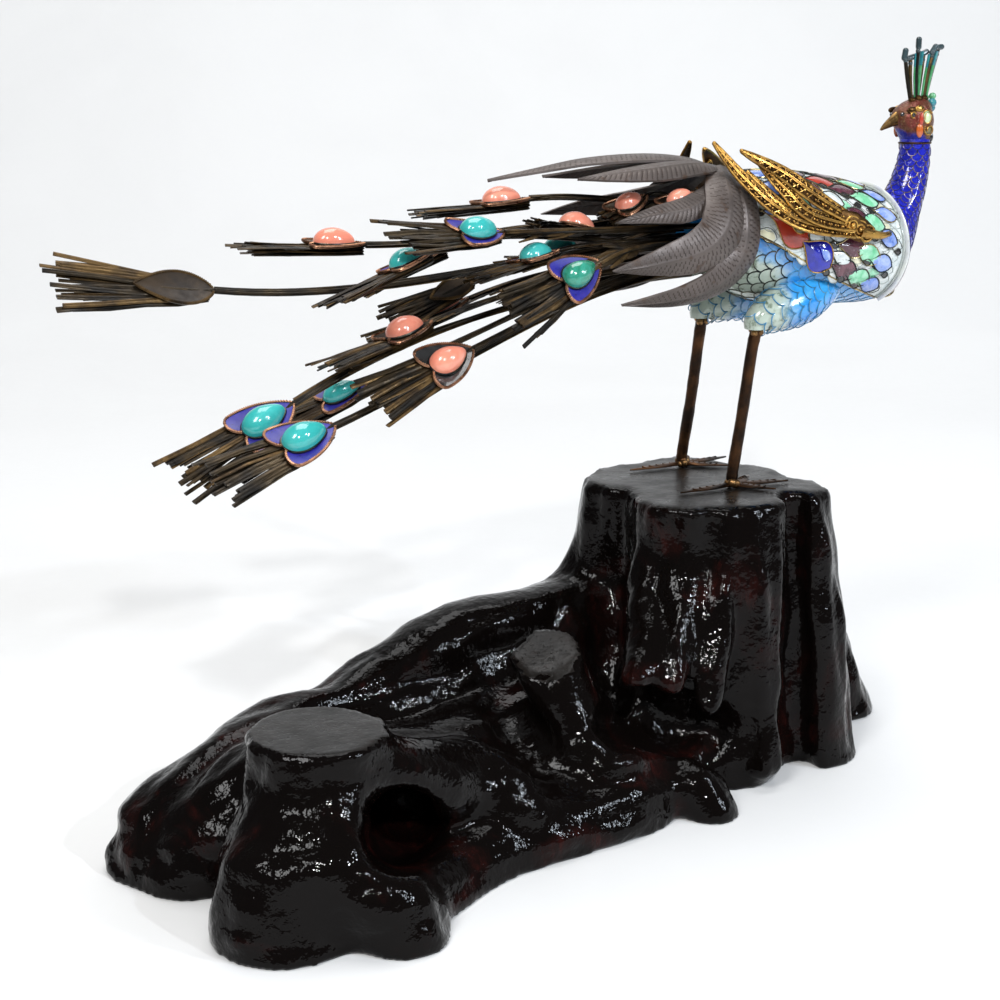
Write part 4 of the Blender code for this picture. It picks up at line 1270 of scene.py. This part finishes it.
def makeCrest():
    crest = Shape()
    rand = random.Random(9)
    blades = []
    for k, (x, z, y, knob, slot) in enumerate(crestTips):
        foot = Vector((48.2 + 0.80 * k, y * 0.8, 73.7))
        tip = Vector((x, y, z))
        bend = foot.lerp(tip, 0.5) + Vector((rand.uniform(-0.2, 0.2) - 0.15, 0, 0))
        path = [bird(*p) for p in smoothRow([tuple(foot), tuple(bend), tuple(tip)], 6)]
        blades.append(path)
        crest.tube(path, 0.40, 8, slot)
        lean = radians(knob)
        reach = Vector((cos(lean), 0, sin(lean))) * 0.75 * mm
        crest.tube([path[-1] - reach, path[-1] + reach], 0.60, 10, 2)
        crest.ball(path[-1] - reach, 0.60, 2, 2)
        crest.ball(path[-1] + reach, 0.60, 2, 2)
        crest.ball(path[-3], 0.50, 2, 2)
    # enamel blades between the wires, green below and turquoise above
    for k, width in ((1, 0.30), (2, 0.62), (3, 0.40), (4, 0.66)):
        middle = [a.lerp(b, 0.5) - sideways * 0.3 * mm for a, b in zip(blades[k], blades[k + 1])]
        widths = [width * (0.7 + 0.3 * i / (len(middle) - 1)) for i in range(len(middle))]
        crest.tube(middle[1:9], widths[1:9], 8, 3, 0.5, sideways)
        crest.tube(middle[8:12], widths[8:12], 8, 4, 0.5, sideways)
    for x, y, z, r, slot in crestBeads:
        crest.ball(bird(x, y, z), r, slot, 2)
    names = ("wire", "wireBrown", "slate", "bladeGreen", "bladeBlue", "giltDark")
    crest.make("crest", [mats[name] for name in names], "bronze_wire", ["crest"], 50)


makeHead()
makeCrest()


# Legs and wings

legPaths = {
    -1: [(5.1, 9.1, 31.3), (4.4, 8.8, 27.0), (3.4, 7.9, 15.0), (2.4, 6.8, 3.4), (2.4, 6.8, 1.3)],
    1: [(5.1, 9.1, 31.3), (5.0, 9.8, 27.0), (4.8, 11.6, 15.0), (4.4, 13.6, 3.4), (4.4, 13.6, 1.3)],
}
toes = [(48, 8.6), (8, 12.5), (-34, 9.5), (178, 12.5)]  # heading away from the body and length


def toeWidth(t):
    # half the width of a toe, from the ankle to its tip
    if t < 0.87:
        return 0.55 + 0.75 * sin(pi * min(1, t * 1.15))
    return 0.12 + 0.75 * (1 - t) / 0.13


def makeLeg(side):
    leg = Shape()
    name = "Right" if side < 0 else "Left"
    path = smoothRow([(x, y * side, z) for x, y, z in legPaths[side]], 8)
    points = [bird(*p) for p in path]
    rand = random.Random(20 + side)
    leg.tube(points, [1.17 + rand.uniform(-0.05, 0.05) for _ in points], 14, 0)
    ankle = Vector(path[-1])
    for k, (heading, length) in enumerate(toes):
        turn = radians(heading)
        along = Vector((cos(turn), sin(turn) * side, 0))
        level = Vector((-along.y, along.x, 0))
        rows = []
        steps = 14
        for step in range(steps + 1):
            t = step / steps
            width = toeWidth(t)
            height = 0.62 * (1 - 0.55 * t)
            centre = ankle + along * (length * t) + Vector((0, 0, -0.95 + height * 0.5))
            ring = []
            for j, a in enumerate(fullTurn(10)):
                ridge = 1 + (0.5 if j in (2, 3) else 0) * (1 - t)
                rise = up * (sin(a) * height * 0.62 * ridge)
                ring.append(bird(*(centre + level * (cos(a) * width) + rise)))
            rows.append(ring)
        leg.skin(rows, 0)
        # engraved veins on the toe
        for v in range(5):
            t = 0.25 + 0.13 * v
            top = ankle + along * (length * t) + Vector((0, 0, -0.18 - 0.25 * t))
            for hand in (-1, 1):
                foot = top - along * 0.7 + level * hand * 0.8 + Vector((0, 0, -0.3))
                leg.tube([bird(*top), bird(*foot)], 0.13, 4, 0)
    # solder at the ankle and under the thigh
    for k in range(5):
        angle = 2 * pi * k / 5 + side
        offset = Vector((cos(angle) * 0.75, sin(angle) * 0.75, -0.35 + 0.25 * sin(k * 2.1)))
        leg.ball(bird(*(ankle + offset)), 0.85 + 0.15 * cos(k * 1.7), 1, 2)
    knee = Vector(path[1])
    for k in range(4):
        angle = 2 * pi * k / 4 + 0.6
        offset = Vector((cos(angle) * 0.8, sin(angle) * 0.8, 0.35 * sin(k * 2)))
        leg.ball(bird(*(knee + offset)), 0.75, 1, 2)
    leg.make(f"leg{name}", [mats["leg"], mats["solder"]], "bronze_wire", [f"leg_{name.lower()}"], 50)


wingLook = dict(rim=0.27, bead=0.25, beadGap=0.58, bar=0.11, root=(23.0, 15.6, 50.0), outward=(0, 0.72, 0.69))
# each leaf: its middle line from the shoulder to the tip, and its width
wingLeaves = [
    ([(22.2, 15.8, 49.4), (7.5, 16.4, 52.8), (0.4, 11.4, 59.2), (-2.5, 4.0, 66.2)], 3.6),
    ([(22.4, 15.1, 49.8), (9.2, 16.4, 52.2), (4.5, 13.6, 56.3), (1.5, 9.4, 61.0)], 3.8),
    ([(23.4, 15.4, 50.6), (11.6, 16.2, 53.5), (7.4, 13.3, 58.0), (5.2, 8.0, 62.4)], 3.8),
    ([(24.0, 15.2, 51.2), (13.5, 14.6, 56.8), (8.5, 11.0, 61.0), (2.4, 6.0, 64.8)], 4.2),
]
# the shoulder plate (with its half widths) and its hook, both counted from the shoulder
wingPlate = [(-4.2, -0.35, 2.6, 1.6), (-1.5, -0.1, 1.2, 2.6), (1.5, 0.0, -0.2, 2.3), (4.2, -0.1, -0.9, 1.2)]
wingHook = [(0.5, 0.3, -0.3), (3.4, 0.3, -0.8), (6.2, 0.1, -1.2), (8.4, -0.4, -1.0)]
hookRadii = [1.1, 1.05, 1.0, 0.98, 0.95, 0.92, 0.9, 0.86, 0.8, 0.76, 0.7, 0.66, 0.6, 0.56, 0.5, 0.45]
leafShape = [(0, 0.45), (0.17, 0.8), (0.35, 1.0), (0.6, 0.95), (0.8, 0.7), (0.93, 0.4), (1.0, 0.14)]


def makeWing(side):
    wing = Shape()
    name = "Right" if side < 0 else "Left"
    root = Vector(wingLook["root"])
    outward = Vector(wingLook["outward"])

    def put(p):
        return bird(p.x, p.y * side, p.z)

    for line, width in wingLeaves:
        path = [Vector(p) for p in evenRow(line, 36)]
        last = len(path) - 1
        frames = []
        for i, centre in enumerate(path):
            ahead = (path[min(i + 1, last)] - path[max(i - 1, 0)]).normalized()
            across = ahead.cross(outward).normalized()
            rise = across.cross(ahead).normalized()
            if rise.y < 0:
                rise.negate()
            half = lookUp(leafShape, i / last)[1] * width / 2
            frames.append((centre, across, rise, half))

        def at(i, v, lift):
            centre, across, rise, half = frames[i]
            return put(centre + across * (v * half) + rise * (lift - 0.18 * half * v * v))

        rows = [[at(i, v, -0.12) for v in (-1, -0.5, 0, 0.5, 1)] for i in range(last + 1)]
        outs = [[Vector((f[2].x, f[2].y * side, f[2].z))] * 5 for f in frames]
        wing.sheet(rows, outs, 0.3, 1)
        outline = [at(i, -1, 0.1) for i in range(last + 1)] + [at(i, 1, 0.1) for i in range(last, -1, -1)]
        wing.tube(outline, wingLook["rim"], 7, 0)
        for v in (-0.12, 0.12):
            wing.tube([at(i, v, 0.1) for i in range(last + 1)], 0.17, 6, 0)
        length = sum((b - a).length for a, b in zip(path, path[1:]))
        count = int(length / wingLook["beadGap"])
        for n in range(2, count - 1):
            i = min(last, round(n / count * last))
            shift = n / count * last - i
            if frames[i][3] < 0.7:
                continue
            for hand in (-1, 1):
                here, ahead = (at(j, hand * 0.56, 0.08) for j in (i, min(i + 1, last)))
                wing.ball(here.lerp(ahead, max(0, shift)), wingLook["bead"], 0 if n % 3 else 1, 1)
        # short filigree bars from the middle wires to the rim
        for i in range(2, last - 1, 2):
            for hand in (-1, 1):
                wing.tube([at(i, hand * 0.1, 0.06), at(i + 1, hand * 0.95, 0.06)], wingLook["bar"], 5, 0)
        wing.ball(at(last, 0, 0.1), 0.42, 0, 2)
    # the shoulder, with coils and a hook that ends in a dark tip
    for k in range(3):
        centre = root + Vector((-1.6 + 1.9 * k, 0.35, 1.0 - 0.9 * k))
        coil = []
        for step in range(34):
            a = 0.45 * step
            r = 1.9 - 0.05 * step
            coil.append(put(centre + Vector((r * cos(a), 0.012 * step, r * sin(a)))))
        wing.tube(coil, 0.24, 6, 0)
        wing.ball(put(centre + Vector((0, 0.35, 0))), 0.5, 0, 2)
    plate = [put(root + Vector(row[:3])) for row in wingPlate]
    wing.tube(plate, [row[3] for row in wingPlate], 14, 1, 0.3, guide=up)
    hook = [put(root + Vector(place)) for place in wingHook]
    wing.tube(smoothVectors(hook, 5), hookRadii, 10, 0)
    wing.ball(hook[-1], 0.6, 2, 2)
    finish = [mats["gilt"], mats["giltDark"], mats["dark"]]
    wing.make(f"wing{name}", finish, "gilt_filigree", [f"wing_{name.lower()}"], 50)


for side in (-1, 1):
    makeLeg(side)
    makeWing(side)
print("head, legs and wings made")


# The grey leaves over the tail root

# each leaf: its middle line and its half width at the widest
coverts = {
    "covert_top": ([
        (0.6, 0.0, 61.4), (-6.0, 0.0, 63.4), (-16.0, 0.0, 64.2), (-28.0, -0.2, 63.6), (-38.0, -0.4, 62.0),
        (-48.0, -0.5, 60.2),
    ], 3.4),
    "covert_upper": ([(-0.4, 2.4, 61.8), (-8.0, 5.4, 62.6), (-19.0, 6.8, 61.8), (-33.5, 6.4, 60.4)], 3.0),
    "covert_side": ([
        (-0.6, 4.4, 60.4), (-6.5, 9.2, 57.2), (-13.5, 12.0, 55.0), (-21.4, 13.0, 54.2), (-29.8, 13.4, 53.0),
    ], 2.5),
    "covert_lower": ([
        (-0.6, 3.4, 62.0), (-3.2, 9.4, 59.2), (-5.2, 13.4, 54.6), (-8.4, 15.6, 50.2), (-14.0, 16.8, 47.4),
        (-23.0, 17.3, 45.9), (-32.5, 17.2, 45.0),
    ], 4.7),
    "covert_under": ([
        (0.0, 4.4, 60.8), (-0.6, 10.4, 57.6), (-1.4, 13.6, 51.4), (-3.0, 14.2, 45.6), (-8.0, 14.4, 41.2),
        (-17.0, 14.6, 39.0), (-28.6, 14.0, 38.5),
    ], 4.1),
}
covertShape = [
    (0, 0.55), (0.2, 0.9), (0.38, 1.0), (0.54, 0.92), (0.7, 0.68), (0.85, 0.38), (0.95, 0.14), (1, 0.02),
]
covertLook = dict(
    points=150, columns=24, thickness=0.42, ribGap=1.05, sweep=1.3, groove=0.11, midRib=0.12, curl=0.30,
)
rumpCentre = Vector((0, 0, 49.5))


def covertRelief(v, phase, half):
    # height at a share v of the half width, and whether an engraved line runs there
    look = covertLook
    line = max(0.0, 1 - abs((phase % 1.0) - 0.5) * 5.5)
    groove = look["groove"] * line * min(1, (1 - abs(v)) * 5) * min(1, abs(v) * 5)
    rib = look["midRib"] * max(0.0, 1 - abs(v) * 7)
    engraved = groove > 0.035 and 0.12 < abs(v) < 0.92
    return rib - groove - look["curl"] * half * v * v, engraved


def covertLeaf(line, halfWidth, side):
    look = covertLook
    leaf = Shape()
    path = [Vector(p) for p in evenRow(line, look["points"])]
    count = len(path) - 1
    reach = sum((b - a).length for a, b in zip(path, path[1:]))
    rows, outs, fronts = [], [], []
    for i, here in enumerate(path):
        t = i / count
        ahead = (path[min(i + 1, count)] - path[max(i - 1, 0)]).normalized()
        out = here - rumpCentre
        out.x = 0
        out = (out - ahead * out.dot(ahead)).normalized()
        across = ahead.cross(out).normalized()
        half = lookUp(covertShape, t)[1] * halfWidth
        row, tones = [], []
        for c in range(look["columns"] + 1):
            v = 2 * c / look["columns"] - 1
            # the engraved lines sweep back from the middle rib to both edges
            height, engraved = covertRelief(v, t * reach / look["ribGap"] - abs(v) * look["sweep"], half)
            point = here + across * (half * v) + out * height
            row.append(bird(point.x, point.y * side, point.z))
            tones.append(1 if engraved else 0)
        rows.append(row)
        outs.append([Vector((out.x, out.y * side, out.z))] * len(row))
        fronts.append(tones)
    leaf.sheet(rows, outs, look["thickness"], 0, fronts)
    return leaf


def makeCoverts():
    finish = [mats["silver"], mats["engraved"]]
    for name, (line, halfWidth) in coverts.items():
        single = name == "covert_top"
        for side in (-1,) if single else (-1, 1):
            node = name if single else f"{name}_{'right' if side < 0 else 'left'}"
            pieceName = "".join(word.capitalize() if i else word for i, word in enumerate(node.split("_")))
            covertLeaf(line, halfWidth, side).make(pieceName, finish, "oxidised_silver", [node], 50)


makeCoverts()
print("grey leaves made")


# The tail plumes

# each plume: y and z of its root, start of its plate, the plate's yaw, pitch and roll in degrees,
# its size, the length of its wires, and the stone or plain leaf that it carries
plumes = [
    ((1.0, 49.0), (-99.4, 0.0, 43.5), (0, -8, 42), 1.0, 1.1, "leaf"),
    ((4.8, 52.6), (-69.5, 6.0, 49.5), (-8, -2, 4), 1.0, 1.0, "coral"),
    ((-6.3, 51.4), (-50.0, -9.2, 51.8), (12, -3, 26), 1.0, 1.0, "turquoise"),
    ((3.4, 55.2), (-37.0, 4.8, 56.5), (-5, 4, 0), 1.0, 1.0, "coral"),
    ((0.8, 52.2), (-24.6, -0.4, 50.2), (2, -12, -4), 1.0, 0.4, "coral"),
    ((-0.2, 55.4), (-15.4, -1.2, 56.8), (8, 19, 12), 0.8, 0.2, "coral"),
    ((-5.2, 53.6), (-8.6, -7.4, 57.4), (9, 16, 14), 0.75, 0.2, "coral"),
    ((-6.5, 47.8), (-34.0, -15.0, 46.5), (17, 18, 52), 1.0, 1.0, "green"),
    ((-4.9, 48.8), (-37.6, -7.0, 48.0), (9, 9, -6), 0.9, 0.9, "turquoise"),
    ((4.2, 49.6), (-24.4, 6.0, 47.2), (-8, 5, 0), 0.9, 0.5, "turquoise"),
    ((-2.0, 47.8), (-63.0, -7.0, 48.8), (11, 17, -8), 0.9, 1.0, "turquoise"),
    ((6.5, 50.4), (-52.0, 9.4, 47.8), (-14, 24, -6), 0.8, 0.9, "turquoise"),
    ((-5.2, 44.8), (-58.5, -14.0, 32.8), (13, 16, 42), 1.0, 1.0, "coral"),
    ((-2.6, 44.6), (-61.6, -4.4, 36.6), (8, 15, 0), 1.0, 1.0, "coral"),
    ((3.4, 45.4), (-48.5, 7.0, 38.5), (-11, 19, 4), 1.0, 0.8, "coral"),
    ((-1.6, 41.8), (-89.0, -8.0, 25.0), (10, 24, 30), 1.1, 1.0, "turquoise"),
    ((-3.8, 42.8), (-85.0, -16.0, 22.3), (13, 14, 28), 1.1, 1.0, "turquoise"),
    ((0.8, 44.0), (-72.0, 0.0, 25.8), (-10, 20, 20), 0.9, 1.0, "turquoise"),
    ((1.2, 46.8), (-49.3, 3.2, 42.5), (-8, 20, 40), 0.66, 0.8, "leaf"),
]
plumeLook = dict(
    rootX=-5.3,
    length=10.8,  # of the plate
    width=8.8,
    thickness=0.44,
    dish=0.45,
    stretch=1.25,  # a plain leaf is longer
    barb=14.0,
    stem=0.52,
    strips=(9, 9, 6),  # wires in each layer
    strip=0.50,
    spread=8,
    dark=0.72,  # share of dark wires
    stemBarbs=16,
    stone=(7.6, 5.2, 2.7),
    stoneStart=0.17,
    stoneSeat=0.2,
)
plateTones = dict.fromkeys((2, 4, 5, 6, 7, 14, 15), "leafBrown") | {1: "leafDark", 13: "dark", 19: "leafDark"}


class Plume:
    def __init__(self, row):
        root, start, turns, size, barbs, self.kind = row
        self.crowded = -66 < start[0] < -28 and start[2] > 36  # has barbs on its stem too
        self.root = bird(plumeLook["rootX"], *root)
        self.start = bird(*start)
        self.size = size
        self.length = plumeLook["length"] * size * (plumeLook["stretch"] if self.kind == "leaf" else 1)
        self.width = plumeLook["width"] * size
        self.barb = plumeLook["barb"] * barbs
        yaw, pitch, roll = (radians(turn) for turn in turns)
        self.along = Vector((-cos(pitch) * cos(yaw), -cos(pitch) * sin(yaw), -sin(pitch)))
        level = self.along.cross(up).normalized()
        self.normal = level.cross(self.along) * cos(roll) - level * sin(roll)
        self.across = self.along.cross(self.normal)

    def at(self, u, v, n=0.0):
        return self.start + (self.along * u + self.across * v + self.normal * n) * mm

    def stem(self, t):
        # a curve that leaves the rump level and comes in along the plate
        reach = (self.start - self.root).length / 3
        a, d = self.root, self.start
        b = a + Vector((-1, 0, -0.04)).normalized() * reach
        c = d - self.along * reach
        s = 1 - t
        return a * s**3 + b * (3 * s * s * t) + c * (3 * s * t * t) + d * t**3


def heartOutline(length, width, count=48):
    # from the point at the stem, round both lobes and back
    half = []
    steps = count // 2
    for k in range(steps + 1):
        t = k / steps
        if t < 0.62:
            s = t / 0.62
            half.append((length * 0.86 * s, width / 2 * sin(pi / 2 * s**0.78)))
        else:
            s = (t - 0.62) / 0.38
            v = width / 2 * (0.5 + 0.5 * cos(pi * s))
            u = length * (0.86 + 0.14 * sin(pi * min(1, s * 1.12)) - 0.06 * s)
            half.append((u, v))
    return half + [(u, -v) for u, v in half[-2:0:-1]]


def leafOutline(length, width, count=48):
    half = []
    steps = count // 2
    for k in range(steps + 1):
        s = k / steps
        half.append((length * s, width / 2 * 0.8 * sin(pi * s**0.8) ** 0.85 if 0 < s < 1 else 0.0))
    return half + [(u, -v) for u, v in half[-2:0:-1]]


def plumePlate(shape, plume, slotFace, slotBack, slotRim):
    # a shallow dish with a face, a back and a rim of twisted wire
    makeOutline = leafOutline if plume.kind == "leaf" else heartOutline
    outline = makeOutline(plume.length, plume.width)
    centre = (plume.length * 0.52, 0.0)
    count = len(outline)

    def ring(share, n):
        return [plume.at(centre[0] + (u - centre[0]) * share, v * share, n) for u, v in outline]

    dish = plumeLook["dish"]
    edges = []
    for lift, slot in ((plumeLook["thickness"] / 2, slotFace), (-plumeLook["thickness"] / 2, slotBack)):
        rings = [ring(share, lift + dish * (share**2 - 1)) for share in (1.0, 0.85, 0.65, 0.4)]
        shape.dome(rings, plume.at(*centre, lift - dish), slot)
        edges.append(rings[0])
    shape.skin(edges, slotRim, False)
    # twisted rim: small slanted ridges on a wire
    edge = ring(1.0, 0.12)
    rim = []
    for i in range(count):
        a, b = edge[i], edge[(i + 1) % count]
        rim += [a, a.lerp(b, 0.5)]
    shape.loop(rim, 0.26, 6, slotRim)
    for i, place in enumerate(rim):
        ahead = (rim[(i + 1) % len(rim)] - rim[i - 1]).normalized()
        out = ahead.cross(plume.normal).normalized()
        over = place + plume.normal * 0.2 * mm
        slant = out * 0.2 * mm + ahead * 0.12 * mm
        shape.tube([over - slant, over + slant], 0.11, 4, slotRim)


def plumeWires(shape, plume, seed):
    rand = random.Random(seed)
    steps = 26
    path = [plume.stem(k / steps) for k in range(steps + 1)]
    under = [plume.at(plume.length * s, 0, -0.5) for s in (0.15, 0.45, 0.8)]
    shape.tube(path + under, [plumeLook["stem"]] * (steps + 1) + [0.5, 0.42, 0.3], 9, 0)
    # thin strips bound to the stem
    for k in range(3):
        turn = rand.uniform(0, 2 * pi)
        first = rand.randint(0, 8)
        side = []
        for i in range(first, steps + 1):
            a = turn + i * 0.10
            side.append(path[i] + (sideways * cos(a) + up * sin(a)) * 0.62 * mm)
        shape.tube(side, 0.14, 6, rand.choice((0, 0, 1)), 2.2, plume.normal)
    # short barbs along the last part of the stem
    for k in range(plumeLook["stemBarbs"] if plume.crowded else 0):
        t = 0.55 + 0.43 * (k + rand.random()) / plumeLook["stemBarbs"]
        foot = plume.stem(t)
        ahead = (plume.stem(min(1, t + 0.02)) - plume.stem(t - 0.02)).normalized()
        hand = -1 if k % 2 else 1
        lean = plume.across * hand * rand.uniform(0.10, 0.32) - plume.normal * rand.uniform(0.0, 0.12)
        reach = rand.uniform(4.5, 8.0) * mm
        tip = foot + (ahead + lean).normalized() * reach
        middle = foot.lerp(tip, 0.5) + plume.across * hand * 0.3 * mm
        tone = 0 if rand.random() < plumeLook["dark"] else 1
        shape.tube([foot, middle, tip], [0.20, 0.19, 0.09], 6, tone, 2.4, plume.normal)
    # the bundle of wires that runs on past the plate, in layers below it
    for layer, count in enumerate(plumeLook["strips"]):
        for k in range(count):
            v = -1 + 2 * (k + 0.5) / count
            lane = v * plume.width / 2
            turn = radians(plumeLook["spread"]) * v + radians(rand.uniform(-4.5, 4.5))
            length = plume.barb * rand.uniform(0.78, 1.06) * (1 - 0.12 * layer)
            depth = -0.55 - 0.48 * layer + rand.uniform(-0.15, 0.15)
            a = plume.at(plume.length * 0.05, lane * 0.12, depth - 0.1)
            b = plume.at(plume.length * 0.45, lane * 0.58, depth)
            c = plume.at(plume.length * 0.86, lane * 0.80, depth + 0.1)
            end = plume.length * 0.9 + length
            rise = rand.uniform(-0.7, 0.5)
            d = plume.at(end, lane * 0.80 + sin(turn) * length, depth + 0.1 + rise)
            stray = plume.normal * rand.uniform(-0.3, 0.3) + plume.across * rand.uniform(-0.35, 0.35)
            middle = c.lerp(d, 0.5) + stray * mm
            wide = plumeLook["strip"] * rand.uniform(0.8, 1.15)
            tilt = (plume.normal + plume.across * rand.uniform(-0.5, 0.5)).normalized()
            tone = 0 if rand.random() < plumeLook["dark"] else 1
            shape.tube([a, b, c, middle, d], wide * 0.40, 6, tone, 2.5, tilt)


def stoneShape(shape, plume, slot):
    # a pear-shaped cabochon with its thin end to the stem; gives back its lowest ring
    length, width, rise = (v * plume.size for v in plumeLook["stone"])
    seat = plumeLook["stoneSeat"]
    middle = plume.length * plumeLook["stoneStart"] + length / 2
    rings = []
    for step in range(8):
        a = pi / 2 * step / 8
        share, height = cos(a) ** 0.9, sin(a)
        ring = []
        for angle in fullTurn(36):
            thin = max(0, cos(angle))
            u = middle - cos(angle) * length / 2 * share
            v = sin(angle) * width / 2 * share * (0.86 - 0.26 * cos(angle)) * (1 - 0.12 * thin**3)
            lift = height * rise * (1 - 0.18 * thin * share)
            ring.append(plume.at(u, v, seat + lift))
        rings.append(ring)
    shape.dome(rings, plume.at(middle, 0, seat + rise), slot, True)
    return rings[0]


def makePlumes():
    for number, row in enumerate(plumes, 1):
        plume = Plume(row)
        wires = Shape()
        plumeWires(wires, plume, 100 + number)
        leaf = plume.kind == "leaf"
        plumePlate(wires, plume, 2, 3, 4)
        face = plateTones.get(number, "plateCobalt")
        names = ("wire", "wireBrown", face, "leafBrown", "wireBrown" if leaf else "copperRim")
        finish = [mats[name] for name in names]
        wires.make(f"plume{number:02d}", finish, "bronze_wire", [f"plume_{number:02d}"], 50)
        if leaf:
            continue
        setting = Shape()
        setting.loop(stoneShape(setting, plume, 0), 0.24, 6, 1)
        finish = [mats[plume.kind], mats["darkCloison"]]
        slotName = "green_stone" if plume.kind == "green" else plume.kind
        setting.make(f"stone{number:02d}", finish, slotName, [f"stone_{number:02d}_{plume.kind}"], 60)


makePlumes()
print("plumes made")


# Floor, light and camera

stageLook = dict(
    floor=(0.70, 0.70, 0.695),
    turn=-28,  # the back of the floor faces the camera
    half=2.5,
    bendStart=0.35,
    bend=0.5,
    world=(0.93, 0.95, 1.0),
    worldStrength=0.16,
)
lights = [  # name, place, what it points at, size, power and colour
    ("window left", (-0.80, -0.50, 0.90), (-0.03, 0, 0.05), (0.30, 0.45), 7.5, (1, 1, 1)),
    ("window right", (0.62, -0.86, 0.50), (0, 0, 0.05), (0.05, 0.34), 5.5, (0.80, 0.89, 1.0)),
    ("overhead", (0.05, 0.25, 1.2), (-0.03, 0.1, 0), (0.8, 0.8), 10, (1, 1, 1)),
    ("small lamp", (-0.30, -0.62, 0.52), (-0.03, 0, 0.06), (0.028, 0.028), 2.6, (1, 1, 1)),
    ("lamp right", (0.30, -0.78, 0.62), (-0.03, 0, 0.03), (0.026, 0.026), 2.8, (0.86, 0.92, 1.0)),
]
cameraLook = dict(place=(-0.1837, -0.2594, 0.1288), turn=28, down=13.9, lens=58.32)


def makeStage():
    # a sheet of paper that bends up behind the figure
    look = stageLook
    bm = bmesh.new()
    profile = [(-look["half"], 0.0), (look["bendStart"], 0.0)]
    for k in range(1, 13):
        a = pi / 2 * k / 12
        profile.append((look["bendStart"] + look["bend"] * sin(a), look["bend"] * (1 - cos(a))))
    profile.append((look["bendStart"] + look["bend"], look["half"]))
    rows = []
    for x in (-look["half"], look["half"]):
        rows.append([bm.verts.new((x, y, z)) for y, z in profile])
    for i in range(len(profile) - 1):
        bm.faces.new((rows[0][i], rows[1][i], rows[1][i + 1], rows[0][i + 1]))
    mesh = bpy.data.meshes.new("paperFloor")
    bm.to_mesh(mesh)
    bm.free()
    mesh.shade_smooth()
    paper = baseMaterial("plain paper", dict(
        main=look["floor"], cloud=tuple(v * 0.97 for v in look["floor"]),
        rough=(0.75, 0.9), cloudScale=6.0, spotShare=0.0, bump=0.02,
    ))
    mesh.materials.append(paper)
    floorPiece = bpy.data.objects.new("paperFloor", mesh)
    bpy.context.scene.collection.objects.link(floorPiece)
    floorPiece.rotation_euler = (0, 0, radians(look["turn"]))

    world = bpy.data.worlds.new("soft room")
    world.use_nodes = True
    sky = world.node_tree.nodes["Background"]
    sky.inputs["Color"].default_value = (*look["world"], 1)
    sky.inputs["Strength"].default_value = look["worldStrength"]
    bpy.context.scene.world = world


def addLight(name, place, target, size, power, colour):
    data = bpy.data.lights.new(name, "AREA")
    data.shape = "RECTANGLE"
    data.size, data.size_y = size
    data.energy = power
    data.color = colour
    light = bpy.data.objects.new(name, data)
    light.location = place
    light.rotation_euler = (Vector(target) - Vector(place)).to_track_quat("-Z", "Y").to_euler()
    bpy.context.scene.collection.objects.link(light)


def makeCamera():
    data = bpy.data.cameras.new("camera")
    data.sensor_width = 36
    data.lens = cameraLook["lens"]
    data.clip_start = 0.01
    data.clip_end = 20
    camera = bpy.data.objects.new("camera", data)
    camera.location = cameraLook["place"]
    turn, down = radians(cameraLook["turn"]), radians(cameraLook["down"])
    ahead = Vector((sin(turn) * cos(down), cos(turn) * cos(down), -sin(down)))
    camera.rotation_euler = ahead.to_track_quat("-Z", "Y").to_euler()
    bpy.context.scene.collection.objects.link(camera)
    bpy.context.scene.camera = camera


makeStage()
for light in lights:
    addLight(*light)
makeCamera()
bpy.context.scene.view_settings.view_transform = "Standard"
print("floor, light and camera made")
